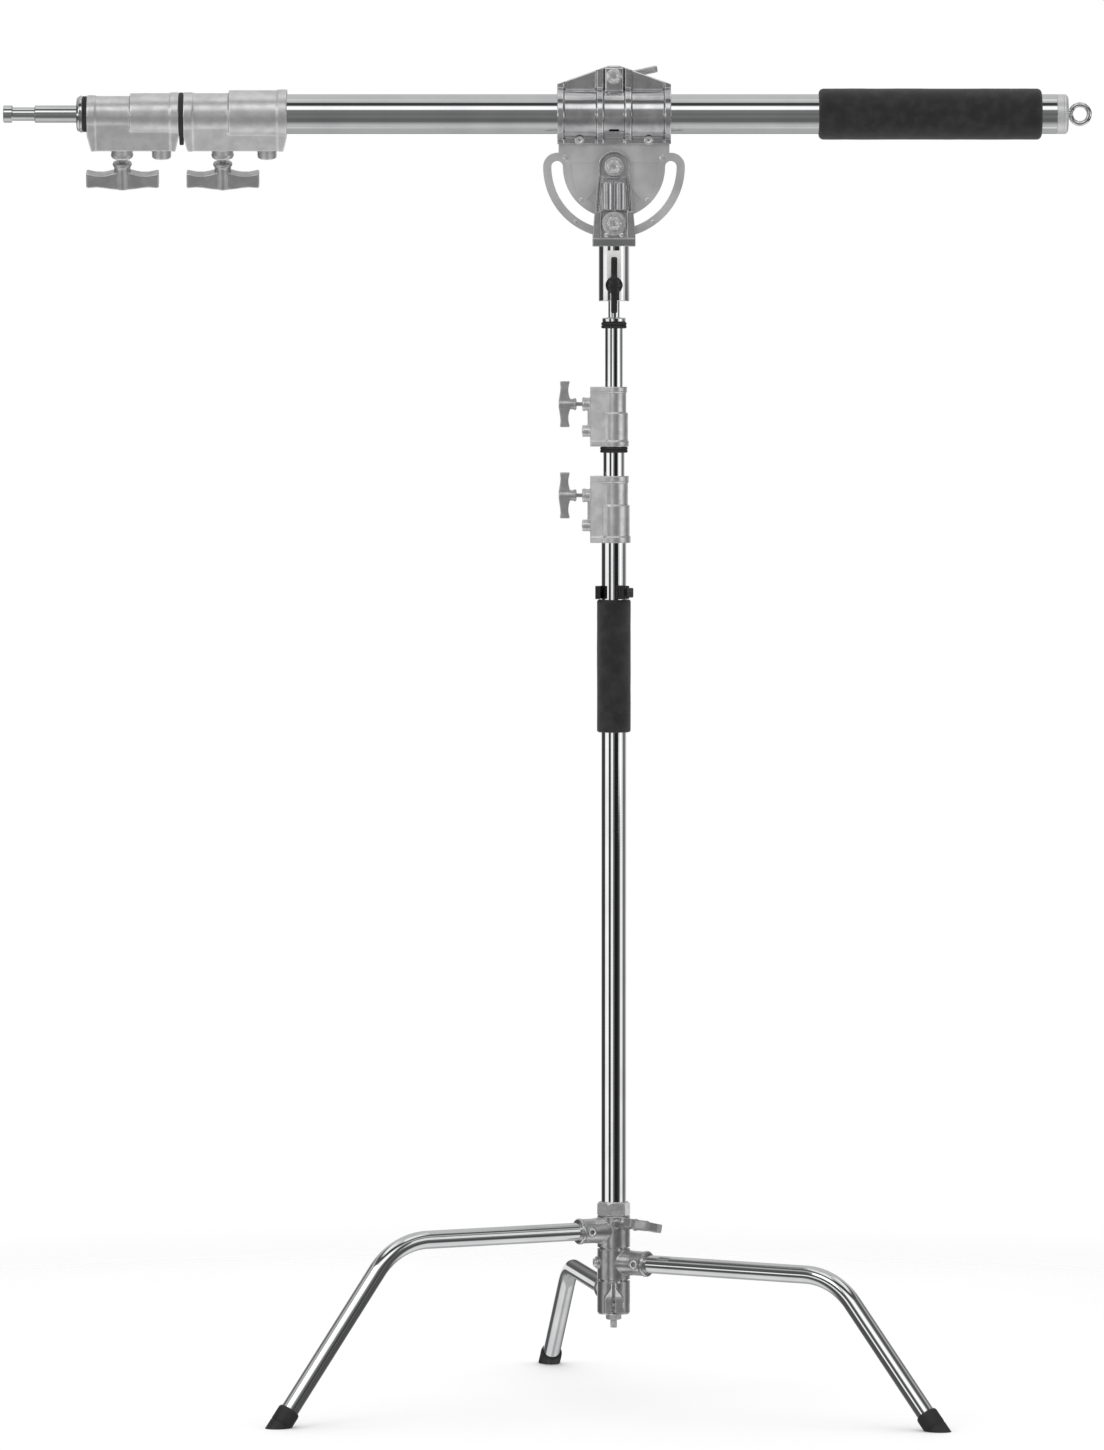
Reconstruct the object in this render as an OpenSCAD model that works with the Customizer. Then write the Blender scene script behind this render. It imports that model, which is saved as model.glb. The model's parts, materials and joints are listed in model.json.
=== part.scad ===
// C-stand with three bent legs, a telescoping column and a telescoping boom arm on a tilting head.
// +Z is up, the floor is z = 0, and the origin is under the middle of the whole outline.

/* [Legs] */
// Outer diameter of a leg tube
leg_d = 25; // [22:0.5:27]
// Radius of the circle on which the three feet stand
foot_circle_r = 520; // [470:5:620]
// Bend radius of a leg, on the centre line of its tube
leg_bend_r = 95; // [70:5:120]
// Distance from the column axis to the knee of the top leg
top_knee_r = 340; // [300:5:360]
// Distance from the column axis to the knee of the middle leg
middle_knee_r = 357; // [310:5:370]
// Distance from the column axis to the knee of the bottom leg
bottom_knee_r = 345; // [310:5:370]
// Compass angle of the top leg, counted from +X
top_leg_azimuth = -152.5; // [-160:2.5:-140]
// Compass angle of the middle leg
middle_leg_azimuth = -32; // [-40:1:-20]
// Compass angle of the bottom leg
bottom_leg_azimuth = 100; // [85:1:110]
// Outer diameter of a rubber foot
foot_d = 31; // [30:0.5:36]

/* [Base hub] */
// Height of the underside of the stacked leg castings above the floor
hub_bottom_z = 133; // [115:1:160]
// Height of one leg casting
hub_casting_h = 45; // [44:0.5:52]
// Outer diameter of a leg casting's barrel
hub_d = 46; // [44:0.5:52]
// Outer diameter of the post that the castings stack on
post_d = 34; // [33:0.5:36]
// Diameter of the pin that stands in the post
column_pin_d = 28; // [26:0.5:29]
// Outer diameter of the socket that holds a leg tube
leg_socket_d = 34; // [33:0.5:34]
// Distance from the column axis to the end of a leg socket
leg_socket_r = 57; // [54:1:70]

/* [Column and risers] */
// Outer diameter of the column tube
column_d = 35; // [34:0.5:37]
// Outer diameter of the first riser
riser_1_d = 30; // [29:0.25:30.5]
// Outer diameter of the second riser
riser_2_d = 25; // [23:0.25:25.5]
// Wall of the column and riser tubes
tube_wall = 1.5; // [1:0.1:1.7]
// Height of the underside of the column casting above the floor
column_casting_z = 1208; // [1100:4:1400]
// Height of the casting at the column's top
column_casting_h = 93; // [85:1:100]
// Height of the casting at the first riser's top
riser_casting_h = 83; // [78:1:90]
// Bare height between the two castings when the stand is closed
riser_1_gap = 41; // [30:1:50]
// Height from the upper casting to the spigot flange when the stand is closed
riser_2_gap = 90; // [40:2:120]
// Length of the foam grip on the column
column_grip_len = 185; // [140:5:220]
// Outer diameter of the foam grip on the column
column_grip_d = 47; // [43:0.5:52]
// Top of the foam grip, below the column casting
column_grip_drop = 79; // [50:1:120]

/* [Spigot and stud] */
// Diameter of the spigot and of the boom's end stud
spigot_d = 16; // [15.9:0.05:16.1]
// Length of the spigot above its flange
spigot_len = 66; // [60:1:80]
// Diameter of the spigot flange
spigot_flange_d = 33; // [30:0.5:36]
// Depth of the spigot in the head's socket
socket_depth = 43; // [36:1:50]

/* [Tilting head] */
// Outer diameter of the head's socket
socket_d = 43; // [40:0.5:48]
// Length of the head's socket
socket_len = 80; // [74:1:90]
// Radius of the protractor plate
plate_r = 98.5; // [96:0.5:104]
// Thickness of the protractor plate
plate_t = 5; // [4:0.25:6]
// Radius of the protractor plate's slot, on its centre line
slot_r = 79; // [77:0.5:81]
// Width of the protractor plate's slot
slot_w = 16; // [14:0.5:17]
// Height of the boom axis above the tilt pivot
pivot_drop = 73; // [70:0.5:80]

/* [Boom] */
// Outer diameter of the boom tube
boom_d = 55; // [54:0.5:57]
// Outer diameter of the second boom tube
boom_2_d = 47; // [45:0.5:48]
// Outer diameter of the third boom tube
boom_3_d = 39; // [36:0.5:40]
// Wall of the boom tubes
boom_wall = 2; // [1.5:0.1:2.4]
// Distance from the pivot back to the end of the boom tube
boom_back = 615; // [560:5:700]
// Distance from the pivot forward to the boom casting
boom_front = 454; // [400:4:520]
// Length of the casting on the boom tube
boom_casting_len = 144; // [130:2:160]
// Length of the casting on the second boom tube
boom_2_casting_len = 128; // [120:2:150]
// Length of the boom's foam grip
boom_grip_len = 310; // [240:5:340]
// Outer diameter of the boom's foam grip
boom_grip_d = 71; // [66:0.5:76]
// Lean of the boom's handles away from straight down
boom_roll = 22; // [0:1:40]
// Diameter of the stud at the boom's tip
boom_stud_d = 24; // [16:1:30]
// Half the width of the boom clamp
clamp_half_w = 79; // [70:1:90]

/* [Handles] */
// Length of the bar of a stand handle
handle_len = 64; // [56:1:72]
// Length of the bar of a boom handle
boom_handle_len = 101; // [90:1:110]
// Length of the bar of the handle behind the boom clamp
clamp_handle_len = 124; // [110:1:130]
// Diameter of the screw of a stand handle
handle_screw_d = 6; // [5:0.25:7]

/* [Fits] */
// Radial clearance of parts that turn or slide in each other
running_gap = 0.05; // [0.03:0.01:0.09]
// Radial clearance of a screw in its threaded hole
thread_gap = 0.04; // [0.02:0.01:0.08]

/* [Hidden] */

$fn = 96;
cut = 1;

// Finishes
chrome = [0.78, 0.79, 0.80];
satin = [0.70, 0.71, 0.72];
rubber = [0.06, 0.06, 0.06];
brass = [0.72, 0.53, 0.22];
label_white = [0.88, 0.88, 0.86];

// Legs and hub
leg_wall = 1.5;
leg_start_r = 27;
bend_swell = 0.1;
foot_reach = 30;
tube_to_floor = 15;
hub_top_z = hub_bottom_z + 3 * hub_casting_h;
top_leg_z = hub_top_z - 20;
middle_leg_z = hub_top_z - hub_casting_h - 20;
bottom_leg_z = hub_bottom_z + hub_casting_h - leg_socket_d / 2 - 0.5;
socket_screw_d = 6;
socket_head_d = 12;
stud_d = 10;
stud_drop = 22;
nut_w = 19;
nut_h = 8;
post_bore_floor_z = hub_bottom_z + 55;
base_screw_z = hub_top_z - 10;
base_screw_azimuth = -45;
base_boss_r = 33;
split_w = 3;

// Column and risers, from the floor up
collar_h = 19;
collar_d = 47;
column_casting_top_z = column_casting_z + column_casting_h;
riser_casting_z = column_casting_top_z + riser_1_gap;
riser_casting_top_z = riser_casting_z + riser_casting_h;
flange_h = 6;
flange_z = riser_casting_top_z + riser_2_gap;
spigot_z = flange_z + flange_h;
spigot_top_z = spigot_z + spigot_len;
bumper_h = 9;
casting_step = 0.56;
column_step_z = column_casting_z + casting_step * column_casting_h;
riser_step_z = riser_casting_z + casting_step * riser_casting_h;
riser_1_foot_z = hub_top_z + 90;
riser_2_foot_z = riser_1_foot_z + 110;
bush_wall = 1.5;
column_grip_top_z = column_casting_z - column_grip_drop;
clip_z = column_grip_top_z + 1;
clip_h = 18;
clip_wall = 4;

// Castings on the stand: block depth, boss size and heights as shares of the casting
block_depth = 33;
block_half_w = 13;
casting_wall = 4.7;
boss_len = 11;
boss_d = 18;
screw_share = 0.71;
bolt_share = 0.26;

// Head, counted from the tilt pivot
socket_bottom_z = spigot_top_z - socket_depth;
base_plate_h = 7;
pivot_z = socket_bottom_z + socket_len + base_plate_h + plate_r + 1;
boom_z = pivot_z + pivot_drop;
bracket_t = 4;
bracket_foot_z = -plate_r - 1;
bracket_gap = plate_t / 2 + 0.4;
bracket_face = bracket_gap + bracket_t;
bracket_top_r = 22;
bracket_foot_half_w = 30;
channel_half_w = 18;
channel_top_z = -62;
strip_t = 5;
pivot_bolt_d = 12;
bolt_head_d = 22;
bolt_head_h = 8;
lock_washer_h = 2;
knob_z = -plate_r - 66;
knob_screw_d = 9;
knob_bar_len = 78;
knob_bar_depth = 20;
knob_bar_t = 8.5;
insert_d = 16;
label_half_angle = 27;

// Boom clamp, counted from the boom axis
clamp_bore_d = boom_d + 2 * running_gap;
shell_d = boom_d + 13;
rib_d = boom_d + 19;
clamp_half_h = 41.7;
gable_h = 67;
gable_half_w = 8;
flange_t = 5;
rib_w = 9;
inner_rib_x = 19.5;
lug_half_w = 12.5;
lug_face = plate_t / 2 + flange_t + 4.5;
clamp_bolt_z = 51.7;
clamp_bolt_d = 10;
clamp_screw_x = 48;
clamp_screw_z = -36.5;
clamp_screw_d = 7;
clamp_washer_d = 13;

// Boom, counted from the pivot along X
boom_casting_tip = -boom_front - boom_casting_len;
boom_bumper_w = 6;
boom_2_casting_back = boom_casting_tip - boom_bumper_w;
boom_2_casting_tip = boom_2_casting_back - boom_2_casting_len;
boom_step_x = -boom_front - casting_step * boom_casting_len;
boom_2_step_x = boom_2_casting_back - 0.53 * boom_2_casting_len;
boom_flange_h = 8;
boom_flange_d = 51;
boom_flange_x = boom_2_casting_tip - boom_bumper_w - boom_flange_h;
boom_stud_len = 102;
boom_tip_x = boom_flange_x - boom_stud_len;
boom_2_end_x = 300;
boom_3_end_x = 200;
boom_block_depth = 47.5;
boom_block_half_w = 21;
boom_casting_wall = 5.5;
boom_boss_len = 16;
boom_boss_d = 30;
boom_screw_share = 0.63;
boom_bolt_share = 0.2;
boom_block_taper = 13;
boom_block_taper_x = 24;
boom_screw_d = 9;
boom_grip_end_x = boom_back - 21;
end_plug_len = 15.5;
eye_r = 13;
eye_wire_d = 7;
eye_x = boom_back + end_plug_len + eye_r + eye_wire_d / 2 + 0.2;

// The column axis stands off the origin by half the outline's unevenness
outline_left = boom_tip_x;
outline_right = eye_x + eye_r + eye_wire_d / 2;
outline_back = foot_circle_r * sin(bottom_leg_azimuth) + foot_d / 2;
outline_front = foot_circle_r * sin(middle_leg_azimuth) - foot_d / 2;
axis_x = -(outline_left + outline_right) / 2;
axis_y = -(outline_back + outline_front) / 2;

// ---------------------------------------------------------------- placing

// Stands its children on the column axis
module on_axis(z = 0) {
    translate([axis_x, axis_y, z]) children();
}

// Turns an upright child to lie along -X, its top pointing away from the pivot
module along_boom(x) {
    on_axis(boom_z) rotate([boom_roll, 0, 0]) translate([x, 0, 0]) rotate([0, -90, 0]) children();
}

// Puts its children at the tilt pivot
module at_pivot() {
    on_axis(pivot_z) children();
}

// Puts its children at the middle of the clamp
module at_clamp() {
    on_axis(boom_z) children();
}

// Points an upright child outward at a compass angle
module outward(azimuth, z) {
    on_axis(z) rotate([0, 0, azimuth]) rotate([0, 90, 0]) children();
}

// Points an upright child to the front, toward -Y
module to_front() {
    rotate([90, 0, 0]) children();
}

// Points an upright child to the rear, toward +Y
module to_rear() {
    rotate([-90, 0, 0]) children();
}

// ---------------------------------------------------------------- common shapes

// Round tube standing on z = 0
module tube(d, wall, len) {
    difference() {
        cylinder(h = len, d = d);
        translate([0, 0, -cut]) cylinder(h = len + 2 * cut, d = d - 2 * wall);
    }
}

// Hexagonal prism standing on z = 0, measured across its flats
module hex_prism(flats, h) {
    cylinder(h = h, d = flats / cos(30), $fn = 6);
}

// Hexagon-headed bolt with its washer: the shank runs down from z = 0 and the head stands up
module hex_bolt(shank_d, shank_len, flats, head_h, washer_d, washer_h) {
    translate([0, 0, -shank_len]) cylinder(h = shank_len + washer_h, d = shank_d);
    cylinder(h = washer_h, d = washer_d);
    translate([0, 0, washer_h]) hex_prism(flats, head_h);
}

// Socket-head screw: the shank runs down from z = 0 and the drilled head stands up
module socket_screw(shank_d, shank_len, head_d, head_h) {
    translate([0, 0, -shank_len]) cylinder(h = shank_len + head_h / 2, d = shank_d);
    difference() {
        cylinder(h = head_h, d = head_d);
        translate([0, 0, head_h / 2]) hex_prism(head_d * 0.5, head_h);
    }
}

// Pair of rubber rings around a tube, standing on z = 0
module bumper(bore_d, outer_d, h) {
    ring_d = (outer_d - bore_d) / 2;
    rotate_extrude()
        intersection() {
            union() {
                for (ring_z = [h * 0.28, h * 0.72])
                    translate([bore_d / 2 + ring_d / 2, ring_z]) circle(d = ring_d);
                translate([bore_d / 2, h * 0.1]) square([ring_d * 0.6, h * 0.8]);
            }
            translate([bore_d / 2, 0]) square([ring_d, h]);
        }
}

// Baby pin: body, waist and head, standing on z = 0
module baby_pin(d, len) {
    head_len = len * 0.12;
    waist_len = len * 0.31;
    body_len = len - head_len - waist_len;
    cylinder(h = body_len, d = d);
    translate([0, 0, body_len - cut]) cylinder(h = waist_len + 2 * cut, d = d * 0.78);
    translate([0, 0, len - head_len]) cylinder(h = head_len, d = d);
}

// T-shaped handle. Its axis is Z, z = 0 is the face of the boss it screws into, its bar lies along X.
module t_handle(len, screw_d, screw_in, neck_share = 0.125) {
    k = len / 64;
    neck = neck_share * len;
    hub_h = 9 * k;
    translate([0, 0, -screw_in]) cylinder(h = screw_in + neck + cut, d = screw_d);
    translate([0, 0, neck]) cylinder(h = hub_h + cut, d = 17 * k);
    handle_bar(k, neck + hub_h, 12 * k);
}

// Bar of a T-shaped handle, a little waisted between its middle and its ends; z is its inner face
module handle_bar(k, z, thick) {
    half = [[0, 0], [8, 0], [15, 1.8], [23, 2.2], [32, 0.6], [32, 13.9], [23, 13.4], [10, 15], [0, 15.5]];
    mirrored = [for (i = [len(half) - 2 : -1 : 1]) [-half[i][0], half[i][1]]];
    translate([0, 0, z])
        rotate([90, 0, 0])
            linear_extrude(height = thick, center = true)
                polygon(k * concat(half, mirrored));
}

// Cast collar that ends one tube and clamps the next. It stands on z = 0, its block points to -X.
module casting(h, step, low_d, up_d, seat_d, bore_d, depth, half_w, boss, boss_h, screw, screw_z, bolt_z) {
    rim_h = h * 0.09;
    rim_t = 1.2;
    difference() {
        union() {
            casting_slab(0, step, low_d, up_d, depth, half_w);
            casting_slab(step - cut, h - step + cut, up_d, up_d, depth, half_w);
            casting_slab(0, rim_h, low_d + 2 * rim_t, up_d + 2 * rim_t, depth, half_w + rim_t);
            casting_slab(h - rim_h, rim_h, up_d + 2 * rim_t, up_d + 2 * rim_t, depth, half_w + rim_t);
            for (boss_z = [screw_z, bolt_z])
                translate([-depth + cut, 0, boss_z])
                    rotate([0, -90, 0]) cylinder(h = boss_h + cut, d = boss_z == screw_z ? boss : boss * 0.9);
            translate([-depth - boss_h * 0.35, -boss * 0.2, bolt_z])
                cube([boss_h, boss * 0.4, screw_z - bolt_z]);
        }
        translate([0, 0, -cut]) cylinder(h = step + cut, d = seat_d);
        translate([0, 0, -cut]) cylinder(h = h + 2 * cut, d = bore_d);
        translate([0, 0, screw_z])
            rotate([0, -90, 0]) cylinder(h = depth + boss_h + cut, d = screw + 2 * thread_gap);
        translate([-depth - boss_h - cut, 0, bolt_z])
            rotate([0, 90, 0]) hex_prism(boss * 0.42, boss_h * 0.7);
    }
}

// One storey of a cast collar: a round barrel with a tapering block on its -X side
module casting_slab(z, h, d, root_d, depth, half_w) {
    root = root_d / 2 - 0.5;
    translate([0, 0, z]) {
        cylinder(h = h, d = d);
        linear_extrude(height = h)
            polygon([[-depth, -half_w], [0, -root], [0, root], [-depth, half_w]]);
    }
}

// Plain sleeve between a casting and the tube that slides in it
module bush(tube_d, wall, h) {
    difference() {
        cylinder(h = h, d = tube_d + 2 * running_gap + 2 * wall);
        translate([0, 0, -cut]) cylinder(h = h + 2 * cut, d = tube_d + 2 * running_gap);
    }
}

// ---------------------------------------------------------------- legs and hub

// Slope of a leg's lower part below the horizontal
function leg_slope(leg_z, knee_r) = atan2(leg_z, foot_circle_r - knee_r);

// Bent tube of one leg, drawn from the middle of its bend: the bend, the level and the slanted stretch.
// The bend's wall is a hair thicker, and the straight stretches reach a hair into it.
module leg_tube(leg_z, knee_r, azimuth) {
    slope = leg_slope(leg_z, knee_r);
    tangent = leg_bend_r * tan(slope / 2);
    level_len = knee_r - tangent - leg_start_r;
    slant_len = (foot_circle_r - knee_r) / cos(slope) - tangent - tube_to_floor;
    on_axis() rotate([0, 0, azimuth]) translate([knee_r - tangent, 0, leg_z - leg_bend_r])
        rotate([90, 0, 0]) rotate([0, 0, 90 - slope]) {
            rotate_extrude(angle = slope)
                translate([leg_bend_r, 0])
                    difference() {
                        circle(d = leg_d + bend_swell);
                        circle(d = leg_d - 2 * leg_wall - bend_swell);
                    }
            rotate([0, 0, slope]) translate([leg_bend_r, -bend_swell, 0])
                rotate([-90, 0, 0]) tube(leg_d, leg_wall, level_len + bend_swell);
            translate([leg_bend_r, bend_swell, 0])
                rotate([90, 0, 0]) tube(leg_d, leg_wall, slant_len + bend_swell);
        }
}

// Rubber foot with a flat sole
module leg_foot(leg_z, knee_r, azimuth) {
    slope = leg_slope(leg_z, knee_r);
    on_axis() rotate([0, 0, azimuth])
        difference() {
            translate([foot_circle_r, 0, 0]) rotate([0, slope - 90, 0])
                translate([0, 0, -foot_d]) cylinder(h = foot_d + foot_reach, d = foot_d);
            translate([foot_circle_r, 0, 0]) rotate([0, slope - 90, 0])
                translate([0, 0, tube_to_floor]) cylinder(h = foot_reach + cut, d = leg_d);
            translate([foot_circle_r - 100, -100, -200]) cube([200, 200, 200]);
        }
}

// Barrel and leg socket of one hub casting, with its bores
module hub_casting(z, leg_z, azimuth, bore_d, flare_d) {
    difference() {
        union() {
            on_axis(z) cylinder(h = hub_casting_h, d = hub_d);
            outward(azimuth, leg_z) cylinder(h = leg_socket_r, d = leg_socket_d);
            outward(azimuth, leg_z) translate([0, 0, 12]) cylinder(h = 28, d1 = flare_d, d2 = leg_socket_d - 1);
            children();
        }
        on_axis(z - cut) cylinder(h = hub_casting_h + 2 * cut, d = bore_d);
        outward(azimuth, leg_z) translate([0, 0, leg_start_r - cut])
            cylinder(h = leg_socket_r, d = leg_d);
        leg_screw_place(azimuth, leg_z) translate([0, 0, -leg_socket_d / 2])
            cylinder(h = leg_socket_d, d = socket_screw_d);
        leg_screw_place(azimuth, leg_z) cylinder(h = leg_socket_d, d = socket_head_d + 1.2);
    }
}

// Puts an upright child on a leg socket's side, pointing away from the leg and to the front
module leg_screw_place(azimuth, leg_z) {
    side = azimuth < -90 ? 1 : -1;
    on_axis(leg_z) rotate([0, 0, azimuth]) translate([42, 0, 0])
        rotate([-90 * side, 0, 0]) translate([0, 0, leg_socket_d / 2 - 2.5]) children();
}

module leg_screw(azimuth, leg_z) {
    leg_screw_place(azimuth, leg_z)
        socket_screw(socket_screw_d, (leg_socket_d - leg_d) / 2 - 2.6, socket_head_d, 3);
}

// Puts an upright child on the lug at the middle casting's left side
module hub_lug_place() {
    outward(-164, middle_leg_z) translate([0, 0, hub_d / 2 + 3]) children();
}

// Puts an upright child on the axis of the screw that closes the bottom casting's split
module split_screw_place() {
    on_axis(hub_bottom_z + 13) translate([13, -hub_d / 2 - 3, 0]) rotate([0, 90, 0]) children();
}

module top_leg_casting() {
    color(satin)
        difference() {
            hub_casting(hub_top_z - hub_casting_h, top_leg_z, top_leg_azimuth, post_d, leg_socket_d + 4) {
                outward(base_screw_azimuth, base_screw_z) cylinder(h = base_boss_r, d = 15);
                outward(-80, base_screw_z) cylinder(h = hub_d / 2 + 5, d = 11);
            }
            outward(base_screw_azimuth, base_screw_z)
                cylinder(h = base_boss_r + cut, d = handle_screw_d + 2 * thread_gap);
            on_axis(hub_top_z) cylinder(h = 30, d = 2 * hub_d);
            on_axis(hub_top_z - hub_casting_h - cut) cylinder(h = hub_casting_h + 2 * cut, d = post_d);
        }
}

module top_leg_tube() {
    color(chrome) leg_tube(top_leg_z, top_knee_r, top_leg_azimuth);
}

module top_leg_foot() {
    color(rubber) leg_foot(top_leg_z, top_knee_r, top_leg_azimuth);
}

module top_leg_screw() {
    color(chrome) leg_screw(top_leg_azimuth, top_leg_z);
}

module center_post() {
    color(chrome)
        difference() {
            union() {
                on_axis(hub_bottom_z) cylinder(h = hub_top_z - hub_bottom_z, d = post_d);
                on_axis(hub_bottom_z - stud_drop) cylinder(h = stud_drop + cut, d = stud_d);
            }
            on_axis(post_bore_floor_z)
                cylinder(h = hub_top_z - post_bore_floor_z + cut, d = column_pin_d + 2 * running_gap);
            outward(base_screw_azimuth, base_screw_z)
                cylinder(h = hub_d, d = handle_screw_d + 2 * thread_gap);
        }
}

// Washer that carries the castings and the nut that holds it, on the post's stud
module hub_nut() {
    color(chrome)
        difference() {
            union() {
                on_axis(hub_bottom_z - 2.5) cylinder(h = 2, d = hub_d - 2);
                on_axis(hub_bottom_z - 2.5 - nut_h) hex_prism(nut_w, nut_h + 1);
                on_axis(hub_bottom_z - 1) cylinder(h = 1, d = post_d - 1);
            }
            on_axis(hub_bottom_z - nut_h - 5) cylinder(h = nut_h + 10, d = stud_d);
        }
}

module base_handle() {
    color(satin)
        outward(base_screw_azimuth, base_screw_z)
            translate([0, 0, base_boss_r]) rotate([0, 0, 78])
                t_handle(handle_len, handle_screw_d, base_boss_r - column_pin_d / 2 - 0.5);
}

module middle_leg_casting() {
    color(satin)
        difference() {
            hub_casting(hub_top_z - 2 * hub_casting_h, middle_leg_z, middle_leg_azimuth,
                        post_d + 2 * running_gap, leg_socket_d + 4)
                outward(-164, middle_leg_z) cylinder(h = hub_d / 2 + 3, d = 17);
            hub_lug_place() translate([0, 0, -12]) cylinder(h = 12 + cut, d = socket_screw_d);
            on_axis(hub_top_z - 2 * hub_casting_h - cut)
                cylinder(h = hub_casting_h + 2 * cut, d = post_d + 2 * running_gap);
        }
}

module middle_leg_tube() {
    color(chrome) leg_tube(middle_leg_z, middle_knee_r, middle_leg_azimuth);
}

module middle_leg_foot() {
    color(rubber) leg_foot(middle_leg_z, middle_knee_r, middle_leg_azimuth);
}

module middle_leg_screws() {
    color(chrome) {
        leg_screw(middle_leg_azimuth, middle_leg_z);
        hub_lug_place() socket_screw(socket_screw_d, 8, socket_head_d, 3);
    }
}

module bottom_leg_casting() {
    color(satin)
        difference() {
            hub_casting(hub_bottom_z, bottom_leg_z, bottom_leg_azimuth,
                        post_d + 2 * running_gap, leg_socket_d)
                on_axis(hub_bottom_z + 3) translate([-13, -hub_d / 2 - 8, 0]) cube([26, 20, 20]);
            on_axis(hub_bottom_z - cut) translate([-split_w / 2, -hub_d, 0])
                cube([split_w, hub_d, hub_casting_h + 2 * cut]);
            on_axis(hub_bottom_z - cut) cylinder(h = hub_casting_h + 2 * cut, d = post_d + 2 * running_gap);
            split_screw_place() translate([0, 0, -26 - cut]) cylinder(h = 26 + 2 * cut, d = socket_screw_d);
            split_screw_place() translate([0, 0, -3]) cylinder(h = 4, d = 10.4);
        }
}

module bottom_leg_tube() {
    color(chrome) leg_tube(bottom_leg_z, bottom_knee_r, bottom_leg_azimuth);
}

module bottom_leg_foot() {
    color(rubber) leg_foot(bottom_leg_z, bottom_knee_r, bottom_leg_azimuth);
}

module bottom_leg_screws() {
    color(chrome) {
        leg_screw(bottom_leg_azimuth, bottom_leg_z);
        split_screw_place() translate([0, 0, -3]) socket_screw(socket_screw_d, 21, 10, 4);
    }
}

// ---------------------------------------------------------------- column

// Turned foot of the column: a pin in the post, a hexagonal collar and a plug in the tube
module column_foot() {
    color(satin)
        on_axis(post_bore_floor_z + 2) {
            cylinder(h = hub_top_z - post_bore_floor_z - 2 + cut, d = column_pin_d);
            translate([0, 0, hub_top_z - post_bore_floor_z - 2])
                rotate([0, 0, 12]) cylinder(h = collar_h, d = collar_d, $fn = 6);
            translate([0, 0, hub_top_z - post_bore_floor_z - 2])
                cylinder(h = collar_h + 32, d = column_d - 2 * tube_wall);
        }
}

module column_tube() {
    color(chrome)
        on_axis(hub_top_z + collar_h) tube(column_d, tube_wall, column_step_z - hub_top_z - collar_h);
}

module column_grip() {
    color(rubber)
        on_axis(column_grip_top_z - column_grip_len)
            difference() {
                cylinder(h = column_grip_len, d = column_grip_d);
                translate([0, 0, -cut]) cylinder(h = column_grip_len + 2 * cut, d = column_d);
            }
}

module stand_casting(h, tube_d, inner_d) {
    casting(h, casting_step * h, tube_d + 2 * casting_wall, inner_d + 2 * casting_wall, tube_d,
            inner_d + 2 * running_gap + 2 * bush_wall, block_depth, block_half_w, boss_d, boss_len,
            handle_screw_d, screw_share * h, bolt_share * h);
}

// Handle in its boss on a stand casting whose underside is at z
module stand_handle(z, h, inner_d) {
    bush_r = inner_d / 2 + running_gap + bush_wall;
    on_axis(z + screw_share * h) translate([-block_depth - boss_len, 0, 0]) rotate([0, -90, 0])
        t_handle(handle_len, handle_screw_d, block_depth + boss_len - bush_r - 0.3);
}

module column_casting() {
    color(satin) on_axis(column_casting_z) stand_casting(column_casting_h, column_d, riser_1_d);
}

module column_bush() {
    color(rubber) on_axis(column_step_z) bush(riser_1_d, bush_wall, column_casting_top_z - column_step_z - 1);
}

module column_handle() {
    color(satin) stand_handle(column_casting_z, column_casting_h, riser_1_d);
}

// Open plastic clip on the column with an ear for its screw
module cable_clip() {
    mouth_w = 26;
    color(rubber)
        on_axis(clip_z)
            difference() {
                union() {
                    cylinder(h = clip_h, d = column_d + 2 * clip_wall);
                    translate([-26, -20, 0]) cube([9, 22, clip_h]);
                    translate([9, -20, 0]) cylinder(h = clip_h + 1, d = 14);
                }
                translate([0, 0, -cut]) cylinder(h = clip_h + 3 * cut, d = column_d);
                translate([-19, -40, -cut]) cube([mouth_w, 40, clip_h + 3 * cut]);
                clip_screw_place() translate([0, 0, -12]) cylinder(h = 14, d = 5 + 2 * thread_gap);
            }
}

// Puts an upright child on the axis of the clip's screw
module clip_screw_place() {
    translate([16, -20, clip_h / 2]) rotate([0, 90, 0]) children();
}

module clip_knob() {
    color(rubber)
        on_axis(clip_z) clip_screw_place() {
            translate([0, 0, -10]) cylinder(h = 13, d = 5);
            translate([0, 0, 2]) cylinder(h = 9, d = 14, $fn = 12);
        }
}

// ---------------------------------------------------------------- risers

module riser_1_tube() {
    color(chrome) on_axis(riser_1_foot_z) tube(riser_1_d, tube_wall, riser_step_z - riser_1_foot_z);
}

module riser_1_bumper() {
    color(rubber) on_axis(riser_casting_z - bumper_h) bumper(riser_1_d, riser_1_d + 9, bumper_h);
}

module riser_1_casting() {
    color(satin) on_axis(riser_casting_z) stand_casting(riser_casting_h, riser_1_d, riser_2_d);
}

module riser_1_bush() {
    color(rubber) on_axis(riser_step_z) bush(riser_2_d, bush_wall, riser_casting_top_z - riser_step_z - 1);
}

module riser_1_handle() {
    color(satin) stand_handle(riser_casting_z, riser_casting_h, riser_2_d);
}

module riser_2_tube() {
    color(chrome) on_axis(riser_2_foot_z) tube(riser_2_d, tube_wall, flange_z - riser_2_foot_z);
}

module riser_2_bumper() {
    color(rubber) on_axis(flange_z - bumper_h) bumper(riser_2_d, riser_2_d + 12, bumper_h);
}

module spigot() {
    color(chrome) {
        on_axis(flange_z - 30) cylinder(h = 30 + cut, d = riser_2_d - 2 * tube_wall);
        on_axis(flange_z) cylinder(h = flange_h, d = spigot_flange_d);
        on_axis(spigot_z) baby_pin(spigot_d, spigot_len);
    }
}

// ---------------------------------------------------------------- tilting head

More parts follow.
